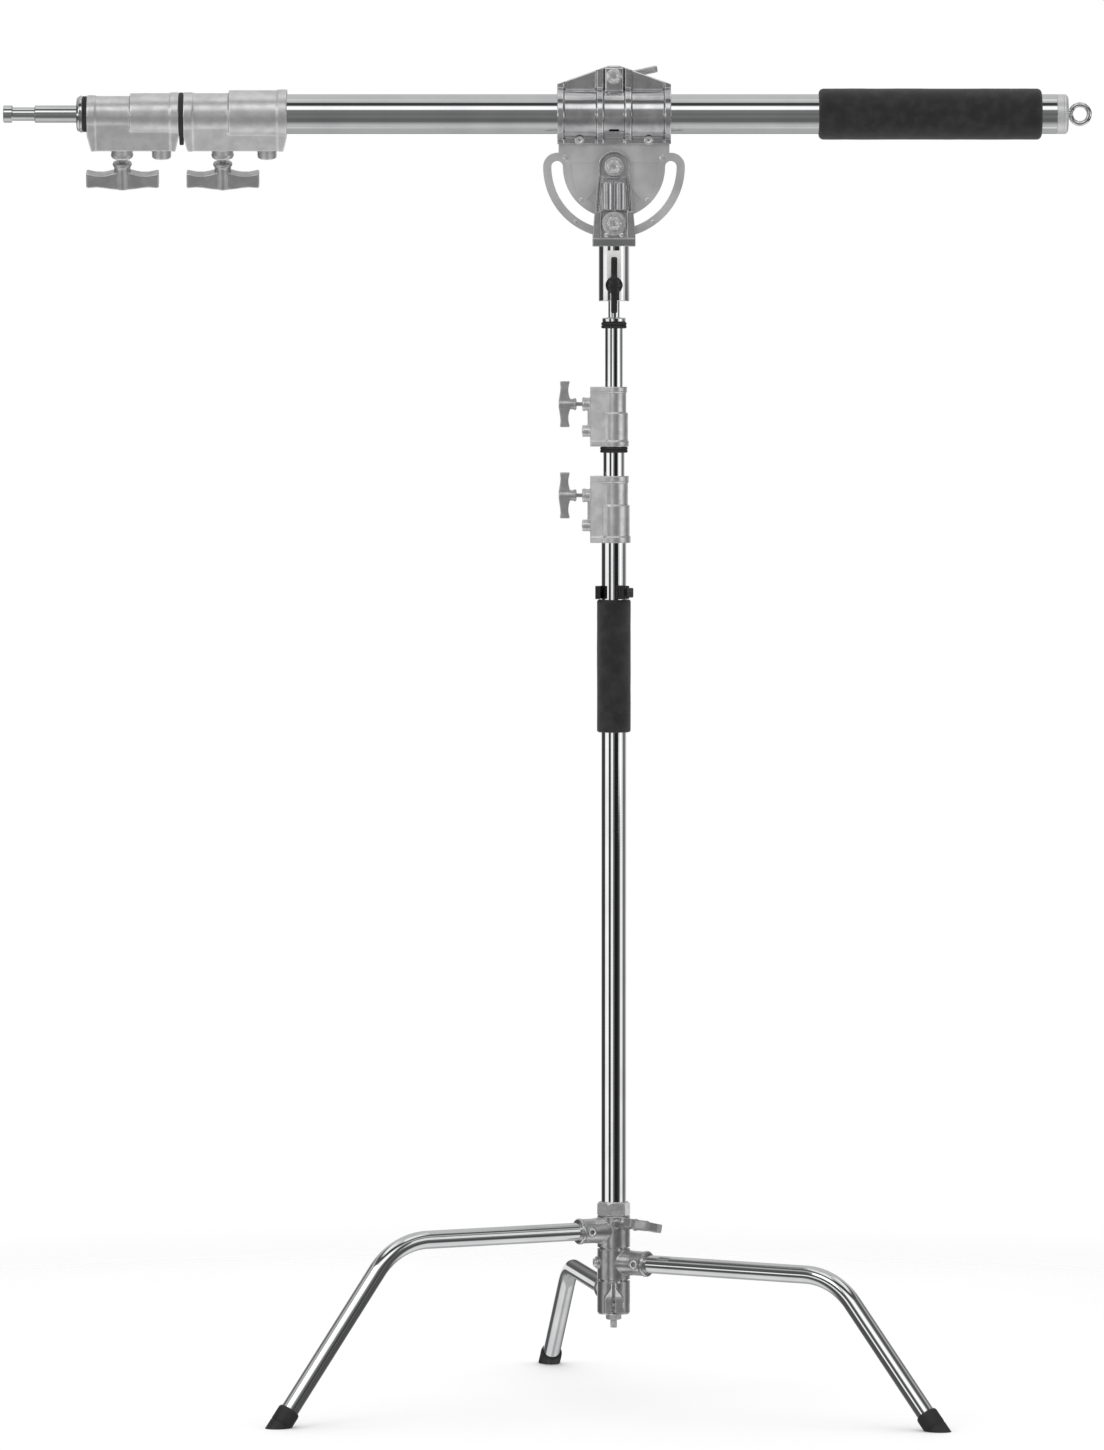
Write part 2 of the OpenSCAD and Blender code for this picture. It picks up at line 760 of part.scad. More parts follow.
module head_socket() {
    color(chrome)
        difference() {
            union() {
                on_axis(socket_bottom_z) cylinder(h = socket_len + cut, d = socket_d);
                on_axis(socket_bottom_z + socket_len)
                    translate([-bracket_foot_half_w, -socket_d / 2, 0])
                        cube([2 * bracket_foot_half_w, socket_d, base_plate_h]);
            }
            on_axis(socket_bottom_z - cut)
                cylinder(h = socket_depth + cut, d = spigot_d + 2 * running_gap);
            at_pivot() translate([0, 0, knob_z]) to_front() cylinder(h = socket_d, d = insert_d);
        }
}

// Threaded brass insert that takes the knob's screw
module socket_insert() {
    color(brass)
        at_pivot() translate([0, 0, knob_z]) to_front()
            difference() {
                translate([0, 0, spigot_d / 2 + 3]) cylinder(h = socket_d / 2 - spigot_d / 2 - 2, d = insert_d);
                cylinder(h = socket_d, d = knob_screw_d + 2 * thread_gap);
            }
}

module label_plate() {
    color(label_white)
        at_pivot() translate([0, 0, -plate_r - 57]) rotate([0, 0, -90 - label_half_angle])
            rotate_extrude(angle = 2 * label_half_angle)
                translate([socket_d / 2, 0]) square([0.5, 39]);
}

module socket_knob() {
    knob_face = socket_d / 2 + 1.5;
    color(rubber)
        at_pivot() translate([0, 0, knob_z]) to_front() {
            translate([0, 0, spigot_d / 2 + 0.4])
                cylinder(h = knob_face + cut - spigot_d / 2 - 0.4, d = knob_screw_d);
            translate([0, 0, knob_face]) cylinder(h = 9, d = 24);
            translate([-knob_bar_t / 2, -knob_bar_len / 2, knob_face + 6])
                cube([knob_bar_t, knob_bar_len, knob_bar_depth]);
            translate([0, 0, knob_face + 8]) cylinder(h = knob_bar_depth - 4, d1 = 20, d2 = 12);
        }
}

// Outline of a bracket: round at the pivot, widening toward its foot
module bracket_outline() {
    circle(r = bracket_top_r);
    polygon([
        [-bracket_top_r + 0.3, 0], [-bracket_foot_half_w, bracket_foot_z],
        [bracket_foot_half_w, bracket_foot_z], [bracket_top_r - 0.3, 0]
    ]);
}

// Bracket seen from its outer side: z = 0 lies on the plate's midplane and z points outward
module bracket() {
    difference() {
        union() {
            translate([0, 0, bracket_gap]) linear_extrude(height = bracket_t) bracket_outline();
            translate([0, 0, bracket_gap])
                linear_extrude(height = bracket_t + strip_t)
                    for (side = [-1, 1])
                        polygon([
                            [side * channel_half_w, bracket_foot_z], [side * bracket_foot_half_w, bracket_foot_z],
                            [side * (bracket_foot_half_w - 3), channel_top_z],
                            [side * channel_half_w, channel_top_z]
                        ]);
            translate([0, 0, bracket_gap])
                linear_extrude(height = bracket_t + 3)
                    polygon([[-16, -14], [16, -14], [21, channel_top_z], [-21, channel_top_z]]);
            for (side = [-1, 1])
                translate([side * 9, channel_top_z + 2, bracket_face + 1])
                    rotate([-90, 0, 0]) cylinder(h = 38, r = 7.5);
        }
        translate([0, 0, -10]) cylinder(h = 40, d = pivot_bolt_d);
        translate([0, -slot_r, -10]) cylinder(h = 40, d = pivot_bolt_d);
        translate([-50, -150, bracket_gap - 20]) cube([100, 200, 20]);
    }
}

module front_bracket() {
    color(chrome) at_pivot() rotate([90, 0, 0]) bracket();
}

module rear_bracket() {
    color(chrome) at_pivot() mirror([0, 1, 0]) rotate([90, 0, 0]) bracket();
}

module pivot_bolt() {
    color(satin)
        at_pivot() {
            to_front() translate([0, 0, bracket_face])
                hex_bolt(pivot_bolt_d, 2 * bracket_face + 10, bolt_head_d * 0.82, bolt_head_h, bolt_head_d + 4, 2);
            to_rear() translate([0, 0, bracket_face]) hex_prism(bolt_head_d * 0.82, bolt_head_h);
        }
}

module lock_bolt() {
    color(satin)
        at_pivot() translate([0, 0, -slot_r]) to_front() translate([0, 0, bracket_face])
            hex_bolt(pivot_bolt_d, 2 * bracket_face + 30, bolt_head_d * 0.82, bolt_head_h, 33, lock_washer_h);
}

module tilt_handle() {
    color(satin)
        at_pivot() translate([0, 0, -slot_r]) to_rear() translate([0, 0, bracket_face + 1])
            difference() {
                rotate([0, 0, 90]) bored_handle(boom_handle_len, pivot_bolt_d, 19);
                translate([0, 0, -cut]) cylinder(h = 32, d = pivot_bolt_d + 2 * thread_gap);
            }
}

// T-shaped handle with a long hub instead of a screw; its hub stands on z = 0
module bored_handle(len, bore_d, thick) {
    k = len / 64;
    hub_h = 15 * k;
    cylinder(h = hub_h + 3 * k, d = bore_d + 11);
    handle_bar(k, hub_h, thick);
}

// ---------------------------------------------------------------- boom clamp

// Half of the clamp on its outer side: z = 0 lies on the plate's midplane and z points outward
module clamp_shell() {
    outline = [
        [-clamp_half_w, -clamp_half_h], [clamp_half_w, -clamp_half_h], [clamp_half_w, clamp_half_h],
        [gable_half_w, gable_h], [-gable_half_w, gable_h], [-clamp_half_w, clamp_half_h]
    ];
    difference() {
        union() {
            linear_extrude(height = plate_t / 2 + flange_t) polygon(outline);
            translate([-clamp_half_w, 0, 0]) rotate([0, 90, 0]) cylinder(h = 2 * clamp_half_w, d = shell_d);
            for (x = [-clamp_half_w, -inner_rib_x - rib_w / 2, inner_rib_x - rib_w / 2, clamp_half_w - rib_w]) {
                translate([x, 0, 0]) rotate([0, 90, 0]) cylinder(h = rib_w, d = rib_d);
                intersection() {
                    linear_extrude(height = plate_t / 2 + flange_t + 3) polygon(outline);
                    translate([x, -100, 0]) cube([rib_w, 200, 50]);
                }
            }
            translate([-lug_half_w, 28, 0]) cube([2 * lug_half_w, gable_h - 31, lug_face]);
        }
        translate([-clamp_half_w - cut, 0, 0])
            rotate([0, 90, 0]) cylinder(h = 2 * clamp_half_w + 2 * cut, d = clamp_bore_d);
        translate([0, clamp_bolt_z, -cut]) cylinder(h = lug_face + 3 * cut, d = clamp_bolt_d + 0.4);
        for (side = [-1, 1])
            translate([side * clamp_screw_x, clamp_screw_z, 0]) {
                cylinder(h = 40, d = clamp_screw_d);
                translate([0, 0, plate_t / 2 + flange_t]) cylinder(h = 40, d = clamp_washer_d + 1.5);
            }
        translate([-100, -100, -100 + plate_t / 2]) cube([200, 200, 100]);
    }
}

module front_clamp_shell() {
    color(chrome) at_clamp() rotate([90, 0, 0]) clamp_shell();
}

module rear_clamp_shell() {
    color(chrome) at_clamp() mirror([0, 1, 0]) rotate([90, 0, 0]) clamp_shell();
}

// Pocket pressed into one face of the protractor plate, left of the middle
module plate_pockets() {
    sector = [[-60, 5.5], [-23, 5.5], [-23, -20], [-42, -39], [-53, -36], [-60, -12]];
    diamond = [[-37, -45], [-24, -31], [24, -31], [37, -45], [24, -58], [-24, -58]];
    polygon(sector);
    polygon([for (p = sector) [-p[0], p[1]]]);
    polygon(diamond);
}

module protractor_plate() {
    lobe_r = plate_r - slot_r;
    neck_top_z = pivot_drop - boom_d / 2 - 1;
    color(satin)
        at_pivot() rotate([90, 0, 0]) difference() {
            translate([0, 0, -plate_t / 2]) {
                intersection() {
                    cylinder(h = plate_t, r = plate_r);
                    translate([-200, -200, -cut]) cube([400, 200, plate_t + 2 * cut]);
                }
                for (side = [-1, 1]) translate([side * slot_r, 0, 0]) cylinder(h = plate_t, r = lobe_r);
                translate([-clamp_half_w + 2, -cut, 0]) cube([2 * clamp_half_w - 4, neck_top_z + cut, plate_t]);
            }
            rotate([0, 0, 180]) rotate_extrude(angle = 180)
                translate([slot_r - slot_w / 2, -plate_t]) square([slot_w, 2 * plate_t]);
            for (side = [-1, 1])
                translate([side * slot_r, 0, -plate_t]) cylinder(h = 2 * plate_t, d = slot_w);
            translate([0, 0, -plate_t]) cylinder(h = 2 * plate_t, d = pivot_bolt_d + 2 * running_gap);
            for (side = [-1, 1])
                translate([side * clamp_screw_x, pivot_drop + clamp_screw_z, -plate_t])
                    cylinder(h = 2 * plate_t, d = clamp_screw_d);
            translate([0, 0, plate_t / 2 - 1]) linear_extrude(height = 2) plate_pockets();
            translate([0, 0, -plate_t / 2 - 1]) linear_extrude(height = 2) plate_pockets();
        }
}

// Two screws through the flanges and the plate's neck
module clamp_screws() {
    color(satin)
        at_clamp()
            for (side = [-1, 1]) translate([side * clamp_screw_x, 0, clamp_screw_z]) {
                to_front() translate([0, 0, plate_t / 2 + flange_t])
                    hex_bolt(clamp_screw_d, plate_t + 2 * flange_t + 5, 10.5, 4, clamp_washer_d, 1.2);
                to_rear() translate([0, 0, plate_t / 2 + flange_t]) hex_prism(10.5, 5);
            }
}

module clamp_bolt() {
    color(satin)
        at_clamp() translate([0, 0, clamp_bolt_z]) to_front() translate([0, 0, lug_face])
            hex_bolt(clamp_bolt_d, 2 * lug_face + 30, 18, 7, 22, 1.5);
}

module clamp_handle() {
    color(satin)
        at_clamp() translate([0, 0, clamp_bolt_z]) to_rear() translate([0, 0, lug_face + 0.5])
            difference() {
                rotate([0, 0, -12]) bored_handle(clamp_handle_len, clamp_bolt_d, 9);
                translate([0, 0, -cut]) cylinder(h = 32, d = clamp_bolt_d + 2 * thread_gap);
            }
}

// ---------------------------------------------------------------- boom

module boom_tube() {
    color(chrome) along_boom(boom_back) tube(boom_d, boom_wall, boom_back - boom_step_x);
}

module boom_grip() {
    end_round = 6;
    color(rubber)
        along_boom(boom_grip_end_x)
            rotate_extrude()
                polygon([
                    [boom_d / 2, 0], [boom_grip_d / 2 - end_round, 0], [boom_grip_d / 2, end_round],
                    [boom_grip_d / 2, boom_grip_len - end_round], [boom_grip_d / 2 - end_round, boom_grip_len],
                    [boom_d / 2, boom_grip_len]
                ]);
}

module boom_end_plug() {
    color(satin)
        difference() {
            union() {
                along_boom(boom_back + end_plug_len - 3) cylinder(h = end_plug_len - 3, d = boom_d);
                along_boom(boom_back + end_plug_len) cylinder(h = 3 + cut, d1 = boom_d - 7, d2 = boom_d - 0.5);
                along_boom(boom_back) cylinder(h = 25, d = boom_d - 2 * boom_wall);
            }
            along_boom(boom_back + end_plug_len + cut) cylinder(h = 16 + cut, d = 9);
        }
}

module eye_ring() {
    color(satin) {
        along_boom(eye_x - eye_r + eye_wire_d / 2) cylinder(h = eye_x - eye_r - boom_back - 2 + eye_wire_d / 2, d = 9);
        on_axis(boom_z) translate([eye_x, 0, 0]) rotate([90, 0, 0])
            rotate_extrude() translate([eye_r, 0]) circle(d = eye_wire_d);
    }
}

module boom_style_casting(len, step, tube_d, inner_d) {
    difference() {
        casting(len, step * len, tube_d + 2 * boom_casting_wall, inner_d + 2 * boom_casting_wall, tube_d,
                inner_d + 2 * running_gap, boom_block_depth, boom_block_half_w, boom_boss_d, boom_boss_len,
                boom_screw_d, boom_screw_share * len, boom_bolt_share * len);
        for (end = [[-20, 1, 0], [0, -1, len]])
            translate([-boom_block_taper_x, 0, end[2]]) rotate([0, end[1] * boom_block_taper, 0])
                translate([-60, -40, end[0]]) cube([60, 80, 20]);
    }
}

// Handle in its boss on a boom casting that starts at x
module boom_style_handle(x, len, inner_d) {
    along_boom(x) translate([-boom_block_depth - boom_boss_len, 0, boom_screw_share * len]) rotate([0, -90, 0])
        t_handle(boom_handle_len, boom_screw_d, boom_block_depth + boom_boss_len - inner_d / 2 - 0.4, 0.07);
}

module boom_casting() {
    color(satin)
        along_boom(-boom_front) boom_style_casting(boom_casting_len, casting_step, boom_d, boom_2_d);
}

module boom_handle() {
    color(satin) boom_style_handle(-boom_front, boom_casting_len, boom_2_d);
}

module boom_2_tube() {
    color(chrome) along_boom(boom_2_end_x) tube(boom_2_d, boom_wall, boom_2_end_x - boom_2_step_x);
}

module boom_2_bumper() {
    color(rubber)
        along_boom(boom_2_casting_back + boom_bumper_w - 0.3)
            linear_extrude(height = boom_bumper_w - 0.3)
                difference() {
                    hull() {
                        circle(d = boom_2_d + 13);
                        translate([-30, 0]) circle(d = 30);
                    }
                    circle(d = boom_2_d);
                }
}

module boom_2_casting() {
    color(satin)
        along_boom(boom_2_casting_back) boom_style_casting(boom_2_casting_len, 0.53, boom_2_d, boom_3_d);
}

module boom_2_handle() {
    color(satin) boom_style_handle(boom_2_casting_back, boom_2_casting_len, boom_3_d);
}

module boom_3_tube() {
    color(chrome)
        along_boom(boom_3_end_x) tube(boom_3_d, boom_wall, boom_3_end_x - boom_flange_x - boom_flange_h);
}

module boom_3_bumper() {
    color(rubber)
        along_boom(boom_flange_x + boom_flange_h + boom_bumper_w - 0.3)
            bumper(boom_3_d, boom_3_d + 15, boom_bumper_w - 0.3);
}

module boom_stud() {
    color(chrome) {
        along_boom(boom_flange_x + boom_flange_h + 30) cylinder(h = 30 + cut, d = boom_3_d - 2 * boom_wall);
        along_boom(boom_flange_x + boom_flange_h) cylinder(h = boom_flange_h, d = boom_flange_d);
        along_boom(boom_flange_x) baby_pin(boom_stud_d, boom_stud_len);
    }
}

top_leg_casting();
top_leg_tube();
top_leg_foot();
top_leg_screw();
center_post();
hub_nut();
base_handle();
middle_leg_casting();
middle_leg_tube();
middle_leg_foot();
middle_leg_screws();
bottom_leg_casting();
bottom_leg_tube();
bottom_leg_foot();
bottom_leg_screws();
column_foot();
column_tube();
column_grip();
column_casting();
column_bush();
column_handle();
cable_clip();
clip_knob();
riser_1_tube();
riser_1_bumper();
riser_1_casting();
riser_1_bush();
riser_1_handle();
riser_2_tube();
riser_2_bumper();
spigot();
head_socket();
socket_insert();
label_plate();
socket_knob();
front_bracket();
rear_bracket();
pivot_bolt();
lock_bolt();
tilt_handle();
front_clamp_shell();
rear_clamp_shell();
protractor_plate();
clamp_screws();
clamp_bolt();
clamp_handle();
boom_tube();
boom_grip();
boom_end_plug();
eye_ring();
boom_casting();
boom_handle();
boom_2_tube();
boom_2_bumper();
boom_2_casting();
boom_2_handle();
boom_3_tube();
boom_3_bumper();
boom_stud();
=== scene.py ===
"""Looks of the C-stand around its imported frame: fine meshes, finishes, light and camera.

Sizes in the classes are in millimetres and places come from the frame's boxes. MM turns both into metres.
"""
import json
import logging
import math
from dataclasses import dataclass, field
from enum import Enum
from functools import lru_cache

import bpy
from mathutils import Matrix, Vector

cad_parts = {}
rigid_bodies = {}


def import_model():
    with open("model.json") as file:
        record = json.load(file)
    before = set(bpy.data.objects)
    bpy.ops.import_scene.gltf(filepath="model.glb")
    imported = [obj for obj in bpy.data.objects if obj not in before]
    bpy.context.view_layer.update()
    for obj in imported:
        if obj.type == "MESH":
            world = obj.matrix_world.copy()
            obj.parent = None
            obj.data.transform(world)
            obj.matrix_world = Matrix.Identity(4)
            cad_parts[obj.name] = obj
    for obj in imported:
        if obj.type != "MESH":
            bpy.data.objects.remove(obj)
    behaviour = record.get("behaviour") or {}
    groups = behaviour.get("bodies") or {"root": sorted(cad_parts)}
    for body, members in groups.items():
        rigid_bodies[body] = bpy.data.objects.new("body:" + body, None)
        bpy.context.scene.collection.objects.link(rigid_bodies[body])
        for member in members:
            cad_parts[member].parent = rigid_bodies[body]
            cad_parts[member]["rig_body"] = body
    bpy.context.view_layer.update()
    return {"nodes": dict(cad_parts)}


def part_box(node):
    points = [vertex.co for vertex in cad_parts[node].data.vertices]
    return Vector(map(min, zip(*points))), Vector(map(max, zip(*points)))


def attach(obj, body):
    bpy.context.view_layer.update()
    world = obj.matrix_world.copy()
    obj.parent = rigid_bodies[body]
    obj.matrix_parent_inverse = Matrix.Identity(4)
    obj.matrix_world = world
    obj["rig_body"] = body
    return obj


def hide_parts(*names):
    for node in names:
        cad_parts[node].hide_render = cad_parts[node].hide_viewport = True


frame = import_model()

MM = 0.001
log = logging.getLogger("c_stand")


# ---------------------------------------------------------------- shader recipes


class Wire:
    """A shader number that takes part in Python arithmetic."""

    def __init__(self, recipe: "Recipe", socket: bpy.types.NodeSocket) -> None:
        """Wraps one output socket of a recipe's node."""
        self.recipe = recipe
        self.socket = socket

    def _math(self, operation: str, *values: object) -> "Wire":
        """Adds a Math node for an operation on this and other values.

        Args:
            operation: The Math node's operation.
            values: The other inputs, as numbers or wires.

        Returns:
            The result.
        """
        sockets = dict(enumerate(values))
        node = self.recipe.node("ShaderNodeMath", {"operation": operation}, sockets)
        return Wire(self.recipe, node.outputs[0])

    def __add__(self, other: object) -> "Wire":
        """This plus another."""
        return self._math("ADD", self, other)

    def __sub__(self, other: object) -> "Wire":
        """This less another."""
        return self._math("SUBTRACT", self, other)

    def __rsub__(self, other: object) -> "Wire":
        """Another less this."""
        return self._math("SUBTRACT", other, self)

    def __mul__(self, other: object) -> "Wire":
        """This times another."""
        return self._math("MULTIPLY", self, other)

    def __truediv__(self, other: object) -> "Wire":
        """This over another."""
        return self._math("DIVIDE", self, other)

    def __abs__(self) -> "Wire":
        """This without its sign."""
        return self._math("ABSOLUTE", self)

    __radd__ = __add__
    __rmul__ = __mul__

    def least(self, other: object) -> "Wire":
        """The smaller of this and another."""
        return self._math("MINIMUM", self, other)

    def most(self, other: object) -> "Wire":
        """The larger of this and another."""
        return self._math("MAXIMUM", self, other)

    def root(self) -> "Wire":
        """Square root."""
        return self._math("SQRT", self)

    def turn_of(self, other: "Wire") -> "Wire":
        """The angle whose tangent is this over another."""
        return self._math("ARCTAN2", self, other)

    def step(self, low: float, high: float) -> "Wire":
        """A smooth mask: 0 below low, 1 above high.

        Args:
            low: Where the mask starts.
            high: Where the mask is full.

        Returns:
            The mask.
        """
        node = self.recipe.node(
            "ShaderNodeMapRange",
            {"interpolation_type": "SMOOTHSTEP"},
            {"Value": self, "From Min": low, "From Max": high},
        )
        return Wire(self.recipe, node.outputs[0])

    def span(self, low: float, high: float) -> "Wire":
        """This mapped from 0...1 to low...high."""
        return self * (high - low) + low


class Recipe:
    """Builds one node tree, of a material or of the world."""

    def __init__(self, tree: bpy.types.NodeTree) -> None:
        """Starts from an empty tree."""
        self.tree = tree
        tree.nodes.clear()

    def node(self, kind: str, settings: dict | None = None, sockets: dict | None = None) -> bpy.types.Node:
        """Adds a node.

        Args:
            kind: The node's type.
            settings: Its properties, set first. "stops" holds a ramp's (place, colour) pairs.
            sockets: Values or links of its inputs, by name or number.

        Returns:
            The new node.
        """
        made = self.tree.nodes.new(kind)
        for key, value in (settings or {}).items():
            if key == "stops":
                self._stops(made.color_ramp, value)
            else:
                setattr(made, key, value)
        for key, value in (sockets or {}).items():
            if isinstance(value, Wire):
                self.tree.links.new(value.socket, made.inputs[key])
            elif isinstance(value, bpy.types.NodeSocket):
                self.tree.links.new(value, made.inputs[key])
            else:
                made.inputs[key].default_value = value
        return made

    @staticmethod
    def _stops(ramp: bpy.types.ColorRamp, stops: list) -> None:
        """Gives a colour ramp its stops.

        Args:
            ramp: The colour ramp.
            stops: (position, level) pairs.
        """
        while len(ramp.elements) < len(stops):
            ramp.elements.new(1.0)
        for element, (place, grey) in zip(ramp.elements, stops):
            element.position = place
            element.color = (grey, grey, grey, 1)

    def place(self, stretch: tuple = (1, 1, 1)) -> bpy.types.NodeSocket:
        """Object coordinates, stretched along the axes.

        Args:
            stretch: Factor along each axis.

        Returns:
            The coordinates.
        """
        coordinates = self.node("ShaderNodeTexCoord").outputs["Object"]
        sockets = {"Vector": coordinates, "Scale": stretch}
        return self.node("ShaderNodeMapping", sockets=sockets).outputs[0]

    def noise(self, scale: float, detail: float = 2, stretch: tuple = (1, 1, 1)) -> Wire:
        """Soft noise of that scale per metre."""
        sockets = {"Vector": self.place(stretch), "Scale": scale, "Detail": detail}
        return Wire(self, self.node("ShaderNodeTexNoise", sockets=sockets).outputs[0])

    def cells(self, scale: float) -> Wire:
        """Distance to the middle of small cells of that scale per metre."""
        sockets = {"Vector": self.place(), "Scale": scale}
        return Wire(self, self.node("ShaderNodeTexVoronoi", sockets=sockets).outputs["Distance"])

    def edges(self, low: float = 0.51, high: float = 0.56) -> Wire:
        """A mask of the convex edges of a piece."""
        pointed = self.node("ShaderNodeNewGeometry").outputs["Pointiness"]
        return Wire(self, pointed).step(low, high)

    def mix(self, mask: object, first: tuple, second: tuple) -> bpy.types.NodeSocket:
        """Mixes two colours by a mask."""
        sockets = {0: mask, 6: self.colour(first), 7: self.colour(second)}
        return self.node("ShaderNodeMix", {"data_type": "RGBA"}, sockets).outputs[2]

    @staticmethod
    def colour(value: object) -> object:
        """A colour with its alpha, or a socket as it is."""
        return (*value, 1) if isinstance(value, tuple) else value

    def relief(self, height: Wire, strength: float, depth_mm: float) -> bpy.types.NodeSocket:
        """Turns a height into a surface's normal."""
        sockets = {"Height": height, "Strength": strength, "Distance": depth_mm * MM}
        return self.node("ShaderNodeBump", sockets=sockets).outputs[0]


def surface(name: str, constants: dict) -> tuple[bpy.types.Material, Recipe, bpy.types.Node]:
    """Starts a material.

    Args:
        name: The material's name.
        constants: Values of the shader's sockets that are the same all over.

    Returns:
        The material, its recipe and its shader node.
    """
    material = bpy.data.materials.new(name)
    material.use_nodes = True
    recipe = Recipe(material.node_tree)
    shader = recipe.node("ShaderNodeBsdfPrincipled", sockets=constants)
    recipe.node("ShaderNodeOutputMaterial", sockets={"Surface": shader.outputs[0]})
    return material, recipe, shader


class Finish:
    """What every finish has: a name, the record's slot and a recipe."""

    name: str
    slot: str

    def paint(self, recipe: Recipe) -> dict:
        """Returns what the shader's sockets take."""
        raise NotImplementedError

    def constants(self) -> dict:
        """Values that are the same all over the surface."""
        return {}


@lru_cache(maxsize=None)
def material_of(finish: Finish) -> bpy.types.Material:
    """Makes a finish's material once.

    Args:
        finish: The finish to use.

    Returns:
        The material.
    """
    material, recipe, shader = surface(finish.name, finish.constants())
    for key, value in finish.paint(recipe).items():
        target = shader.inputs[key]
        recipe.tree.links.new(value.socket if isinstance(value, Wire) else value, target)
    return material


@dataclass(frozen=True)
class PolishedSteel(Finish):
    """Mirror-bright stainless or plated steel with hairlines drawn along one axis and faint wipe marks."""

    name: str = "polished_steel"
    slot: str = "chromed_tube"
    tint: tuple = (0.80, 0.805, 0.81)
    shade: tuple = (0.72, 0.725, 0.735)
    roughness: float = 0.045
    along: tuple = (1, 1, 0.02)

    def constants(self) -> dict:
        """A full metal."""
        return {"Metallic": 1.0}

    def paint(self, recipe: Recipe) -> dict:
        """Hairlines in the relief, wipe marks in the roughness.

        Args:
            recipe: The material's recipe.

        Returns:
            Shader inputs by name.
        """
        lines = recipe.noise(1500, 2, self.along)
        wipes = recipe.noise(14, 3)
        return {
            "Base Color": recipe.mix(wipes.step(0.35, 0.7), self.tint, self.shade),
            "Roughness": wipes.step(0.4, 0.75) * 0.05 + lines * 0.03 + self.roughness,
            "Normal": recipe.relief(lines, 0.012, 0.03),
        }


@dataclass(frozen=True)
class CastAluminium(Finish):
    """Bead-blasted cast aluminium: a fine grain, soft mottling and edges rubbed bright."""

    name: str = "cast_aluminium"
    slot: str = "cast_aluminium"
    tint: tuple = (0.86, 0.86, 0.86)
    shade: tuple = (0.70, 0.70, 0.705)
    roughness: float = 0.22
    grain: float = 1100
    metallic: float = 0.88

    def constants(self) -> dict:
        """A blasted metal skin scatters part of the light."""
        return {"Metallic": self.metallic}

    def paint(self, recipe: Recipe) -> dict:
        """Grain in the relief, mottling in the colour, worn edges smoother and brighter.

        Args:
            recipe: The material's recipe.

        Returns:
            Shader inputs by name.
        """
        grain = recipe.noise(self.grain, 3)
        mottle = recipe.noise(70, 4)
        worn = recipe.edges()
        body = recipe.mix(mottle.step(0.3, 0.72), self.tint, self.shade)
        return {
            "Base Color": recipe.mix(worn * 0.6, body, (0.93, 0.93, 0.93)),
            "Roughness": mottle * 0.14 + grain * 0.08 - worn * 0.1 + self.roughness,
            "Normal": recipe.relief(grain + mottle * 0.6, 0.22, 0.25),
        }


@dataclass(frozen=True)
class PressedSteel(Finish):
    """Plated pressed steel: bright and a little wavy, with painted shade darkening its hollows."""

    name: str = "pressed_steel"
    slot: str = "pressed_steel"
    tint: tuple = (0.74, 0.74, 0.75)
    shade: tuple = (0.56, 0.56, 0.575)
    roughness: float = 0.07

    def constants(self) -> dict:
        """Bright plating that scatters a little light."""
        return {"Metallic": 0.9}

    def paint(self, recipe: Recipe) -> dict:
        """Long waves in the relief, stains in the roughness, worn edges bright, painted shade in the hollows.

        Args:
            recipe: The material's recipe.

        Returns:
            Shader inputs by name.
        """
        waves = recipe.noise(45, 2)
        fine = recipe.noise(900, 2)
        worn = recipe.edges(0.515, 0.56)
        # painted shade: near-black mixed into concave places, drawing dark outlines where shade falls in creases
        hollow = 1 - recipe.edges(0.455, 0.495)
        body = recipe.mix(waves.step(0.3, 0.7), self.tint, self.shade)
        dark = recipe.mix(hollow * 0.85, body, (0.07, 0.07, 0.072))
        return {
            "Base Color": recipe.mix(worn * 0.7, dark, (0.92, 0.92, 0.92)),
            "Roughness": waves * 0.1 + fine * 0.06 + self.roughness,
            "Normal": recipe.relief(waves * 1.5 + fine * 0.1, 0.25, 0.4),
        }


@dataclass(frozen=True)
class PlateSteel(Finish):
    """Satin rolled sheet with fine brush lines across it."""

    name: str = "plate_steel"
    slot: str = "plate_steel"
    tint: tuple = (0.66, 0.66, 0.66)
    shade: tuple = (0.50, 0.50, 0.505)
    brush: tuple = (0.05, 1, 1)

    def constants(self) -> dict:
        """A brushed skin scatters part of the light."""
        return {"Metallic": 0.62}

    def paint(self, recipe: Recipe) -> dict:
        """Brush lines in relief and roughness, clouds in the colour.

        Args:
            recipe: The material's recipe.

        Returns:
            Shader inputs by name.
        """
        brushed = recipe.noise(1600, 3, self.brush)
        clouds = recipe.noise(22, 3)
        return {
            "Base Color": recipe.mix(clouds.step(0.3, 0.7), self.tint, self.shade),
            "Roughness": brushed * 0.16 + clouds * 0.08 + 0.24,
            "Normal": recipe.relief(brushed, 0.14, 0.1),
        }


